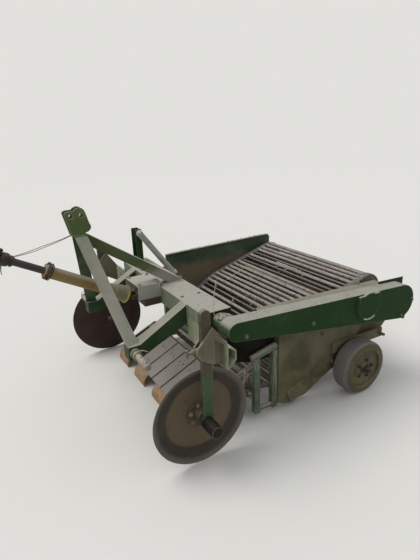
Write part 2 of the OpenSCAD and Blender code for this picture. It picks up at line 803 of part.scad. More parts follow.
// Clamp that holds a disc arm on its tube: a hook outside the arm, a plate inside it, a block and a screw
// ahead of it and a bar behind it
clamp_flat = 14;
clamp_back = 10;
clamp_screw_r = 9;
clamp_screw_l = 54;
module disc_clamp(side) color(rusty_brown) placed() sided(side) {
    arm_front_x = arm_x + arm_w / 2;
    arm_rear_x = arm_x - arm_w / 2;
    front_x = arm_front_x + clamp_reach;
    heel = 16;
    back_x = arm_rear_x - clamp_back;
    back_low_z = clamp_z - 82;
    back_top_z = clamp_z + 58;
    shared = [
        [stub_front_x, stub_top_z],
        [stub_front_x - heel, stub_top_z - heel * stub_slope / stub_depth],
        [arm_rear_x - 6, clamp_top_z],
        [front_x, clamp_z + clamp_flat],
        [front_x, clamp_z - clamp_flat],
        [front_x - 26, clamp_z - 53],
    ];
    plate_y(arm_out_y, arm_out_y + clamp_t)
        polygon(concat(shared, [[back_x, back_low_z - clamp_flat], [back_x, back_top_z]]));
    plate_y(arm_in_y - clamp_t, arm_in_y) polygon(concat(shared, [[stub_front_x, stub_low_z + 10]]));
    translate([arm_front_x, arm_in_y, clamp_z - clamp_flat]) cube([clamp_reach, arm_t, 2 * clamp_flat]);
    translate([back_x, arm_in_y, back_low_z]) cube([clamp_back, arm_t, back_top_z - back_low_z]);
    translate([front_x, arm_in_y + arm_t / 2, clamp_z]) rotate([0, 90, 0])
        cylinder(r = clamp_screw_r, h = clamp_screw_l);
}

// Dished disc that turns on the arm's axle
module disc(side) color(rusty_brown) placed() sided(side)
    translate([0, disc_flat_y, disc_r]) rotate([-90, 0, 0]) rotate_extrude($fn = 96) polygon([
        [disc_axle_r + fit, 0],
        [disc_flat_r, 0],
        [disc_r, disc_dish - disc_t],
        [disc_r, disc_dish],
        [disc_r - 10, disc_dish],
        [disc_flat_r - 4, disc_t],
        [disc_axle_r + fit, disc_t],
    ]);
module disc_hub(side) color(rusty_brown) placed() sided(side) difference() {
    union() {
        rod_y(0, disc_r, hub_flange_r, flange_y, flange_y + hub_flange_t);
        rod_y(0, disc_r, hub_r, flange_y + hub_flange_t, hub_end_y);
    }
    rod_y(0, disc_r, disc_axle_r + fit, flange_y - cut, hub_end_y + cut);
}

// Wheel arm bolted to the casing, with its axle
module wheel_arm(side) color(wheel_olive) placed() sided(side) {
    out_y = casing_out_y + wheel_arm_t;
    plate_y(casing_out_y, out_y) {
        translate([wheel_bar_rear_x, wheel_bar_z - wheel_arm_w / 2]) square([wheel_bar_l, wheel_arm_w]);
        translate([wheel_x - wheel_leg_w / 2, wheel_r]) square([wheel_leg_w, wheel_bar_z - wheel_r]);
        translate([wheel_x, wheel_r]) circle(wheel_leg_w / 2);
    }
    rod_y(wheel_x, wheel_r, wheel_axle_r, out_y, wheel_out_y + 12);
    rod_y(arm_bolt_x, wheel_bar_z, 11, out_y, out_y + arm_bolt_l);
}

// Rubber band and flat steel wheel
module tyre(side) color(rubber_grey) placed() sided(side)
    translate([wheel_x, wheel_in_y, wheel_r]) rotate([-90, 0, 0]) rotate_extrude($fn = 72) polygon([
        [rim_r, 0],
        [wheel_r - 12, 0],
        [wheel_r, 14],
        [wheel_r, tyre_w - 14],
        [wheel_r - 12, tyre_w],
        [rim_r, tyre_w],
    ]);
module wheel_rim(side) color(wheel_olive) placed() sided(side) difference() {
    disc_y = wheel_out_y - 22;
    union() {
        rod_y(wheel_x, wheel_r, rim_r, wheel_in_y, wheel_out_y);
        rod_y(wheel_x, wheel_r, wheel_hub_r, wheel_in_y, wheel_out_y + 6);
    }
    difference() {
        rod_y(wheel_x, wheel_r, rim_r - 8, wheel_in_y - cut, wheel_out_y + cut);
        rod_y(wheel_x, wheel_r, wheel_hub_r, wheel_in_y - 2 * cut, wheel_out_y + 2 * cut);
        rod_y(wheel_x, wheel_r, rim_r, disc_y, disc_y + wheel_disc_t);
    }
    rod_y(wheel_x, wheel_r, wheel_axle_r + fit, wheel_in_y - cut, wheel_out_y + 6 + cut);
}

// Driveline pieces are drawn along its axis, counted from the universal joint
module on_drive() placed() translate([joint_x, 0, joint_z]) rotate([0, 90 - drive_tilt, 0]) children();
cone_from = 46;
cone_lap = 24;
outer_r = guard_r - guard_wall - 2;
module guard_cone() color(guard_tan) on_drive() translate([0, 0, cone_from]) rotate_extrude() polygon([
    [cone_r - guard_wall, 0],
    [cone_r, 0],
    [cone_r - 6, 46],
    [guard_r + guard_wall, cone_l - cone_lap],
    [guard_r + guard_wall, cone_l],
    [guard_r, cone_l],
    [guard_r, cone_l - cone_lap],
    [cone_r - 6 - guard_wall, 44],
]);

// The guard tube runs on the drive tube with a bearing ring at each end
module guard_tube() color(guard_tan) on_drive() translate([0, 0, cone_from + cone_l - cone_lap]) {
    length = guard_end - cone_from - cone_l + cone_lap;
    ring_r = outer_r + seat;
    ring_l = 14;
    rotate_extrude() polygon([
        [ring_r, 0],
        [guard_r, 0],
        [guard_r, length],
        [ring_r, length],
        [ring_r, length - ring_l],
        [guard_r - guard_wall, length - ring_l],
        [guard_r - guard_wall, ring_l],
        [ring_r, ring_l],
    ]);
}

// Cross and yoke of the universal joint, and the drive tube that they turn
slide_gap = 0.5;
module drive_joint() color(bare_steel) placed() {
    ear_w = 24;
    ear_back = 9;
    hub_from = 50;
    bore_from = 90;
    rod_y(joint_x, joint_z, joint_pin_r, -fork_out, fork_out);
    translate([joint_x, 0, joint_z]) rotate([0, 90 - drive_tilt, 0]) {
        translate([-fork_out + 4, 0, 0]) rotate([0, 90, 0]) cylinder(r = joint_pin_r, h = 2 * fork_out - 8);
        for (dx = [-fork_out + 2, fork_out - 12])
            translate([dx, -ear_w / 2, -ear_back]) cube([10, ear_w, ear_back + hub_from + 6]);
        difference() {
            translate([0, 0, hub_from]) cylinder(r = outer_r, h = guard_end - hub_from);
            translate([0, 0, bore_from]) cylinder(r = slide_r + slide_gap, h = guard_end);
        }
    }
}

// Inner tube that slides, and the yoke for the tractor's shaft
module inner_tube() color(guard_black) on_drive() translate([0, 0, guard_end - slide_inside]) difference() {
    cylinder(r = slide_r, h = slide_end - guard_end + slide_inside);
    translate([0, 0, -cut]) cylinder(r = slide_r - slide_wall, h = slide_end);
}
module front_yoke() color(rusty_brown) on_drive() difference() {
    union() {
        translate([0, 0, slide_end]) cylinder(r = yoke_r, h = 26);
        for (dx = [-yoke_r, yoke_r - 9])
            translate([dx, -13, slide_end + 20]) cube([9, 26, yoke_cross - slide_end - 6]);
        translate([-yoke_r, 0, yoke_cross]) rotate([0, 90, 0]) cylinder(r = 8, h = 2 * yoke_r);
        translate([0, -yoke_r, yoke_cross]) rotate([-90, 0, 0]) cylinder(r = 8, h = 2 * yoke_r);
        for (dy = [-yoke_r, yoke_r - 9]) translate([-13, dy, yoke_cross - 14]) cube([26, 9, 54]);
        translate([0, 0, yoke_end - pto_l]) cylinder(r = yoke_r, h = pto_l);
    }
    translate([0, 0, yoke_end - pto_l]) cylinder(r = pto_r, h = pto_l + cut);
}

main_beam();
stub_tube(1);  // stub_tube_left
stub_tube(-1);  // stub_tube_right
mast_leg(1);  // mast_leg_left
mast_leg(-1);  // mast_leg_right
mast_head();
mast_stay();
lower_arm(1);  // lower_arm_left
lower_arm(-1);  // lower_arm_right
hitch_pin(1);  // hitch_pin_left
hitch_pin(-1);  // hitch_pin_right
gearbox();
gearbox_cover();
chain_guard();
side_plate(1);  // side_plate_left
side_plate(-1);  // side_plate_right
side_casing(1);  // side_casing_left
side_casing(-1);  // side_casing_right
side_frame(1);  // side_frame_left
side_frame(-1);  // side_frame_right
cross_tube();
web();
drive_roller();
idle_rollers();
share_slats();
share_carrier();
share_blades();
strut_post();
strut();
disc_arm(1);  // disc_arm_left
disc_arm(-1);  // disc_arm_right
disc_clamp(1);  // disc_clamp_left
disc_clamp(-1);  // disc_clamp_right
wheel_arm(1);  // wheel_arm_left
wheel_arm(-1);  // wheel_arm_right
disc(1);  // disc_left
disc(-1);  // disc_right
disc_hub(1);  // disc_hub_left
disc_hub(-1);  // disc_hub_right
tyre(1);  // tyre_left
tyre(-1);  // tyre_right
wheel_rim(1);  // wheel_rim_left
wheel_rim(-1);  // wheel_rim_right
guard_cone();
guard_tube();
drive_joint();
inner_tube();
front_yoke();
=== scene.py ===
"""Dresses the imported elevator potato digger: finishes, worn pieces, fasteners, floor, light and camera.

Lengths are metres. Shapes are worked out with x counted from the disc axles, y from the machine's
middle and z from the ground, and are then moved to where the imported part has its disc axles.
"""

from __future__ import annotations

import logging
import math
import random
from dataclasses import dataclass, field, replace
from enum import Enum
from typing import Any, Callable, Iterable, Sequence

import bmesh
import bpy
from mathutils import Matrix, Vector, noise

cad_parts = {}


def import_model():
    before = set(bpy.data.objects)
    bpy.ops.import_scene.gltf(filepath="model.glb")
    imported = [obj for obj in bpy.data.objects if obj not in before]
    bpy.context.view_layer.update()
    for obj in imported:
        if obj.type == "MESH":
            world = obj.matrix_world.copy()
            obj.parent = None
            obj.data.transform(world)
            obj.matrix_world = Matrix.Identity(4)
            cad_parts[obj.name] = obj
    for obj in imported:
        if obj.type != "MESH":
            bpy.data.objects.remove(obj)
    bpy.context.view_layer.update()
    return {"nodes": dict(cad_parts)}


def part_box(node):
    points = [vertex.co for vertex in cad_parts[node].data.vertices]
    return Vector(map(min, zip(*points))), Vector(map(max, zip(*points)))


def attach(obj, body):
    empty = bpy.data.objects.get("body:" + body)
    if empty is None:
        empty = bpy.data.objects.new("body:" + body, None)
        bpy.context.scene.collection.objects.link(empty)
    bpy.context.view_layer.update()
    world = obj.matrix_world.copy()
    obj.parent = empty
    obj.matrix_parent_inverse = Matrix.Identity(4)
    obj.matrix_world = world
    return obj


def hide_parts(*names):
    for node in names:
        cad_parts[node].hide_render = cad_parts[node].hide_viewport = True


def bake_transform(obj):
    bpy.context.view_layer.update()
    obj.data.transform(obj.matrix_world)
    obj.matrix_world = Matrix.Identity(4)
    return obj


Colour = tuple[float, float, float, float]
Paint = tuple[int, int, int]
Point = tuple[float, float, float]
Flat = tuple[float, float]
Socket = bpy.types.NodeSocket

log = logging.getLogger("digger")


@dataclass
class Spot:
    """Where a fastener sits: its place, the way it faces and its size across the flats."""

    place: Point
    facing: Point
    size: float


class Body(Enum):
    """The bodies that pieces ride on."""

    CHASSIS = "chassis"
    DISC_LEFT = "disc_left"
    DISC_RIGHT = "disc_right"
    WHEEL_LEFT = "wheel_left"
    WHEEL_RIGHT = "wheel_right"
    DRIVELINE = "driveline"
    SLIDE = "drive_slide"


class Slot(Enum):
    """The record's material slots, which are handed to the pieces but not read."""

    GREEN = "green_paint"
    OLIVE = "olive_paint"
    STEEL = "worn_steel"
    IRON = "rusty_iron"
    RUBBER = "tyre_rubber"
    PLASTIC = "guard_plastic"


class Side(Enum):
    """The two sides of the machine, with the sign of their y."""

    LEFT = 1
    RIGHT = -1

    @property
    def word(self) -> str:
        """The side's name in node names."""
        return self.name.lower()

    @property
    def outward(self) -> Point:
        """The direction away from the machine's middle."""
        return (0.0, float(self.value), 0.0)

    def flip(self, point: Sequence[float]) -> Vector:
        """Puts a point of the left side on this side."""
        return Vector((point[0], point[1] * self.value, point[2]))

    def spots(self, places: Iterable[Sequence[float]], size: float) -> list[Spot]:
        """Returns fasteners that face outwards, at places given for the left side."""
        return [Spot(tuple(self.flip(place)), self.outward, size) for place in places]


def srgb(red: int, green: int, blue: int) -> Colour:
    """Turns a colour as it is seen into the linear values that shaders take.

    Args:
        red: How much red it has, 0 to 255.
        green: How much green.
        blue: How much blue.

    Returns:
        The linear colour.
    """
    shares = [value / 255 for value in (red, green, blue)]
    linear = [share / 12.92 if share <= 0.04045 else ((share + 0.055) / 1.055) ** 2.4 for share in shares]
    return (*linear, 1.0)


def turns(count: int) -> list[float]:
    """Returns that many angles at an even distance round a circle."""
    return [2 * math.pi * i / count for i in range(count)]


# Node trees


class Graph:
    """A node tree that is written from left to right."""

    def __init__(self, tree: bpy.types.NodeTree) -> None:
        """Takes the tree that the nodes go into."""
        self.tree = tree

    def node(self, kind: str, inputs: dict[Any, Any] | None = None, **settings: Any) -> bpy.types.Node:
        """Adds a node.

        Args:
            kind: The node's type.
            inputs: A value or another node's output for each input, by name or number.
            settings: The node's own properties.

        Returns:
            The new node.
        """
        made = self.tree.nodes.new(kind)
        for key, value in settings.items():
            setattr(made, key, value)
        for key, value in (inputs or {}).items():
            self.feed(made.inputs[key], value)
        return made

    def group(self, tree: bpy.types.NodeTree, inputs: dict[str, Any]) -> bpy.types.Node:
        """Adds a node that holds a shader group."""
        return self.node("ShaderNodeGroup", inputs, node_tree=tree)

    def feed(self, socket: Socket, value: Any) -> None:
        """Gives a socket its value.

        Args:
            socket: The input.
            value: An output to link to it, or its own value.
        """
        if isinstance(value, Socket):
            self.tree.links.new(value, socket)
        else:
            socket.default_value = value

    def math(self, operation: str, *values: Any, clamp: bool = False) -> Socket:
        """Returns the result of a math node on the values."""
        made = self.node("ShaderNodeMath", dict(enumerate(values)), operation=operation, use_clamp=clamp)
        return made.outputs[0]

    def mix(self, factor: Any, low: Any, high: Any) -> Socket:
        """Returns a colour between low and high."""
        return self.node("ShaderNodeMix", {0: factor, 6: low, 7: high}, data_type="RGBA").outputs[2]

    def blend(self, factor: Any, low: Any, high: Any) -> Socket:
        """Returns a number between low and high."""
        return self.node("ShaderNodeMix", {0: factor, 2: low, 3: high}, data_type="FLOAT").outputs[0]

    def ramp(self, value: Any, low: Any, high: Any) -> Socket:
        """Returns a smooth step that is 0 up to low and 1 from high."""
        inputs = {"Value": value, "From Min": low, "From Max": high}
        return self.node("ShaderNodeMapRange", inputs, interpolation_type="SMOOTHSTEP").outputs["Result"]

    def noise(self, vector: Any, scale: Any, detail: float = 6.0, roughness: float = 0.6) -> Socket:
        """Returns a noise texture's value."""
        inputs = {"Vector": vector, "Scale": scale, "Detail": detail, "Roughness": roughness}
        return self.node("ShaderNodeTexNoise", inputs).outputs["Fac"]

    def place(self) -> Socket:
        """Returns the place on the object, in metres."""
        return self.node("ShaderNodeTexCoord").outputs["Object"]

    def normal(self) -> Socket:
        """Returns the way that the surface faces."""
        return self.node("ShaderNodeNewGeometry").outputs["Normal"]

    def vector(self, x: Any = 0.0, y: Any = 0.0, z: Any = 0.0) -> Socket:
        """Returns the vector of three numbers."""
        return self.node("ShaderNodeCombineXYZ", {0: x, 1: y, 2: z}).outputs[0]

    def parts(self, vector: Any) -> Any:
        """Returns a vector's three numbers."""
        return self.node("ShaderNodeSeparateXYZ", {0: vector}).outputs

    def scaled(self, vector: Any, share: Any) -> Socket:
        """Returns a vector times a number."""
        return self.node("ShaderNodeVectorMath", {0: vector, 3: share}, operation="SCALE").outputs[0]

    def times(self, vector: Any, other: Any) -> Socket:
        """Returns a vector with each of its numbers times another's."""
        return self.node("ShaderNodeVectorMath", {0: vector, 1: other}, operation="MULTIPLY").outputs[0]


class ShaderGroup(Graph):
    """A shader node group with named inputs and outputs."""

    def __init__(self, name: str, inputs: dict[str, Any], outputs: dict[str, str]) -> None:
        """Makes the group's sockets.

        Args:
            name: The group's name.
            inputs: Each input's name and first value, from which its kind follows.
            outputs: Each output's name and kind.
        """
        tree = bpy.data.node_groups.new(name, "ShaderNodeTree")
        for label, value in inputs.items():
            kind = "NodeSocketColor" if isinstance(value, tuple) else "NodeSocketFloat"
            tree.interface.new_socket(label, in_out="INPUT", socket_type=kind).default_value = value
        for label, kind in outputs.items():
            tree.interface.new_socket(label, in_out="OUTPUT", socket_type=kind)
        super().__init__(tree)
        self.entry = self.node("NodeGroupInput")
        self.exit = self.node("NodeGroupOutput")

    def taken(self, label: str) -> Socket:
        """Returns one of the group's inputs."""
        return self.entry.outputs[label]

    def give(self, label: str, value: Socket) -> None:
        """Links a value to one of the group's outputs."""
        self.feed(self.exit.inputs[label], value)


class Weathering:
    """The effects that all finishes share, each built once as a node group."""

    def __init__(self, axle_x: float) -> None:
        """Builds the groups.

        Args:
            axle_x: The x of the disc axles.
        """
        self.axle_x = axle_x
        self.patches = self._patches()
        self.edges = self._edges()
        self.dust = self._dust()
        self.scratches = self._scratches()
        self.reach = self._reach()

    @staticmethod
    def _reach() -> bpy.types.NodeTree:
        """Builds the group that measures how far a point is from an axle that runs across the machine.

        Returns:
            The group.
        """
        group = ShaderGroup("Reach", {"Axle X": 0.0, "Axle Z": 0.3}, {"Distance": "NodeSocketFloat"})
        place = group.parts(group.place())
        along = group.math("SUBTRACT", place[0], group.taken("Axle X"))
        up = group.math("SUBTRACT", place[2], group.taken("Axle Z"))
        squares = group.math("ADD", group.math("MULTIPLY", along, along), group.math("MULTIPLY", up, up))
        group.give("Distance", group.math("SQRT", squares))
        return group.tree

    @staticmethod
    def _patches() -> bpy.types.NodeTree:
        """Builds the group for patches with ragged borders.

        Returns:
            The group.
        """
        inputs = {"Scale": 9.0, "Cover": 0.4, "Softness": 0.06, "Stretch": 1.0}
        group = ShaderGroup("Patches", inputs, {"Mask": "NodeSocketFloat"})
        place = group.times(group.place(), group.vector(1.0, 1.0, group.taken("Stretch")))
        value = group.noise(place, group.taken("Scale"), detail=9.0, roughness=0.68)
        start = group.math("SUBTRACT", 0.72, group.math("MULTIPLY", group.taken("Cover"), 0.44))
        stop = group.math("ADD", start, group.taken("Softness"))
        group.give("Mask", group.ramp(value, start, stop))
        return group.tree

    @staticmethod
    def _edges() -> bpy.types.NodeTree:
        """Builds the group that finds edges and corners.

        Returns:
            The group.
        """
        group = ShaderGroup("Edges", {"Width": 0.004, "Wear": 0.5}, {"Mask": "NodeSocketFloat"})
        rounded = group.node("ShaderNodeBevel", {"Radius": group.taken("Width")}, samples=4).outputs["Normal"]
        both = {0: rounded, 1: group.normal()}
        same = group.node("ShaderNodeVectorMath", both, operation="DOT_PRODUCT").outputs["Value"]
        turned = group.ramp(group.math("SUBTRACT", 1.0, same), 0.01, 0.16)
        broken = group.ramp(group.noise(group.place(), 40.0), 0.36, 0.60)
        wear = group.math("MULTIPLY", broken, group.taken("Wear"))
        group.give("Mask", group.math("MULTIPLY", turned, wear))
        return group.tree

    @staticmethod
    def _dust() -> bpy.types.NodeTree:
        """Builds the group for dust that lies on what faces up, over a thin film everywhere.

        Returns:
            The group.
        """
        inputs = {
            "Color": (0.5, 0.5, 0.5, 1.0),
            "Roughness": 0.5,
            "Dust Color": (0.5, 0.5, 0.45, 1.0),
            "Cover": 0.6,
            "Film": 0.1,
            "Ahead": 0.0,
        }
        outputs = {"Color": "NodeSocketColor", "Roughness": "NodeSocketFloat", "Mask": "NodeSocketFloat"}
        group = ShaderGroup("Dust", inputs, outputs)
        place = group.place()
        facing = group.parts(group.normal())
        ahead = group.math("MULTIPLY", group.ramp(facing[0], 0.35, 0.95), group.taken("Ahead"))
        lying = group.math("MAXIMUM", group.ramp(facing[2], 0.25, 0.85), ahead)
        cloud = group.noise(place, 5.0, detail=8.0)
        grain = group.noise(place, 120.0, detail=3.0)
        settled = group.math("MULTIPLY", lying, group.taken("Cover"))
        uneven = group.math("ADD", 0.62, group.math("MULTIPLY", cloud, 0.72))
        settled = group.math("MULTIPLY", settled, uneven)
        thin = group.math("MULTIPLY", group.ramp(cloud, 0.3, 0.72), 1.8)
        film = group.math("MULTIPLY", group.taken("Film"), thin)
        mask = group.math("ADD", settled, film, clamp=True)
        shade = group.math("ADD", 0.80, group.math("MULTIPLY", grain, 0.36))
        dust = group.scaled(group.taken("Dust Color"), shade)
        group.give("Color", group.mix(mask, group.taken("Color"), dust))
        group.give("Roughness", group.blend(mask, group.taken("Roughness"), 0.95))
        group.give("Mask", mask)
        return group.tree

    @staticmethod
    def _scratches() -> bpy.types.NodeTree:
        """Builds the group for fine scratches that run along the machine.

        Returns:
            The group.
        """
        group = ShaderGroup("Scratches", {"Amount": 0.3}, {"Mask": "NodeSocketFloat"})
        place = group.place()
        lines = group.ramp(group.noise(group.times(place, (3.0, 9.0, 150.0)), 1.6, detail=4.0), 0.60, 0.68)
        spots = group.ramp(group.noise(place, 4.0), 0.46, 0.60)
        shown = group.math("MULTIPLY", lines, spots)
        group.give("Mask", group.math("MULTIPLY", shown, group.taken("Amount")))
        return group.tree


@dataclass(frozen=True)
class Finish:
    """A weathered surface: a base colour under worn patches, scratches, bare edges, rust, soil and dust.

    Wear, bare, rusty, soiled and dusty say how much of each shows. Film is dust that lies everywhere, and
    ahead is dust on faces that look forward. The lower colour stands below a height; on the near side plate
    it is painted shade. Band and rim are rings round an axle, which lies at a height and at a distance behind
    the disc axles; on the near disc the band is painted shade and the rim a painted highlight.
    """

    title: str
    base: Paint
    worn: Paint
    wear: float = 0.4
    patch: float = 8.0
    stretch: float = 1.0
    scratches: float = 0.2
    edge: Paint = (150, 142, 128)
    bare: float = 0.3
    edge_width: float = 0.004
    rust: Paint = (92, 60, 40)
    rusty: float = 0.1
    soil: Paint = (96, 84, 62)
    soiled: float = 0.0
    dust: Paint = (172, 168, 156)
    dusty: float = 0.8
    film: float = 0.1
    ahead: float = 0.0
    metal: float = 0.0
    rough: float = 0.6
    grain_scale: float = 260.0
    grain: float = 0.0004
    shine: float = 0.35
    lower: Paint | None = None
    lower_from: float = 0.60
    lower_to: float = 0.50
    band: Paint | None = None
    rim: Paint | None = None
    axle_z: float = 0.300
    behind: float = 0.0
    crease: float = 0.212
    rim_from: float = 0.268

    def coat(self, graph: Graph, shared: Weathering, worn: Socket, height: Socket) -> Socket:
        """Mixes the paint under the dirt, with a colour low down or in rings round an axle, some of it
        painted light.

        Args:
            graph: The material's tree.
            shared: The node groups that all finishes use.
            worn: Where the paint is worn.
            height: How high a point is.

        Returns:
            The colour.
        """
        colour = graph.mix(worn, srgb(*self.base), srgb(*self.worn))
        ragged = graph.math("MULTIPLY", graph.math("SUBTRACT", graph.noise(graph.place(), 11.0), 0.5), 0.16)
        if self.lower:
            level = graph.math("ADD", height, ragged)
            low = graph.math("SUBTRACT", 1.0, graph.ramp(level, self.lower_to, self.lower_from))
            colour = graph.mix(low, colour, srgb(*self.lower))
        if self.band and self.rim:
            axle = {"Axle X": shared.axle_x - self.behind, "Axle Z": self.axle_z}
            reach = graph.group(shared.reach, axle).outputs["Distance"]
            reach = graph.math("ADD", reach, graph.math("MULTIPLY", ragged, 0.16))
            creased = graph.ramp(reach, self.crease - 0.012, self.crease + 0.008)
            colour = graph.mix(creased, colour, srgb(*self.band))
            outer = graph.ramp(reach, self.rim_from - 0.010, self.rim_from + 0.022)
            colour = graph.mix(outer, colour, srgb(*self.rim))
        return colour

    def build(self, shared: Weathering) -> bpy.types.Material:
        """Builds the material.

        Args:
            shared: The node groups that all finishes use.

        Returns:
            The material.
        """
        material = bpy.data.materials.new(self.title)
        material.use_nodes = True
        material.node_tree.nodes.clear()
        graph = Graph(material.node_tree)
        place = graph.place()
        height = graph.parts(place)[2]

        def patches(scale: float, cover: float, softness: float, stretch: float = 1.0) -> Socket:
            """Returns a mask of ragged patches."""
            inputs = {"Scale": scale, "Cover": cover, "Softness": softness, "Stretch": stretch}
            return graph.group(shared.patches, inputs).outputs["Mask"]

        worn = patches(self.patch, self.wear, 0.12, self.stretch)
        colour = self.coat(graph, shared, worn, height)
        tint = graph.noise(place, 2.4, detail=4.0)
        bright = graph.math("ADD", 0.78, graph.math("MULTIPLY", tint, 0.44))
        tinted = graph.node("ShaderNodeHueSaturation", {"Value": bright, "Color": colour})
        colour = tinted.outputs["Color"]
        scratch = graph.group(shared.scratches, {"Amount": self.scratches}).outputs["Mask"]
        colour = graph.mix(scratch, colour, srgb(*self.edge))
        edge = {"Width": self.edge_width, "Wear": self.bare}
        bare = graph.group(shared.edges, edge).outputs["Mask"]
        colour = graph.mix(bare, colour, srgb(*self.edge))
        rust = patches(self.patch * 3.1, self.rusty, 0.08)
        colour = graph.mix(rust, colour, srgb(*self.rust))
        splash = graph.math("SUBTRACT", 1.0, graph.ramp(height, 0.12, 0.62))
        soil = patches(14.0, 0.62, 0.2)
        soiled = graph.math("MULTIPLY", graph.math("MULTIPLY", splash, soil), self.soiled)
        colour = graph.mix(soiled, colour, srgb(*self.soil))
        dirty = graph.math("MAXIMUM", rust, soiled)
        uneven = graph.math("ADD", self.rough - 0.08, graph.math("MULTIPLY", tint, 0.16))
        dust = {
            "Color": colour,
            "Roughness": graph.blend(dirty, uneven, 0.92),
            "Dust Color": srgb(*self.dust),
            "Cover": self.dusty,
            "Film": self.film,
            "Ahead": self.ahead,
        }
        dusted = graph.group(shared.dust, dust).outputs
        fine = graph.noise(place, self.grain_scale, detail=4.0)
        relief = graph.math("ADD", fine, graph.math("MULTIPLY", graph.math("ADD", worn, rust), 0.6))
        bump = {"Strength": 0.55, "Distance": self.grain, "Height": relief}
        inputs: dict[str, Any] = {
            "Base Color": dusted["Color"],
            "Roughness": dusted["Roughness"],
            "Specular IOR Level": self.shine,
            "Normal": graph.node("ShaderNodeBump", bump).outputs["Normal"],
        }
        if self.metal:
            shown = graph.math("SUBTRACT", 1.0, graph.math("MAXIMUM", dirty, dusted["Mask"]), clamp=True)
            inputs["Metallic"] = graph.math("MULTIPLY", shown, self.metal)
        shader = graph.node("ShaderNodeBsdfPrincipled", inputs)
        graph.node("ShaderNodeOutputMaterial", {"Surface": shader.outputs["BSDF"]})
        return material


# Geometry trees and mesh work


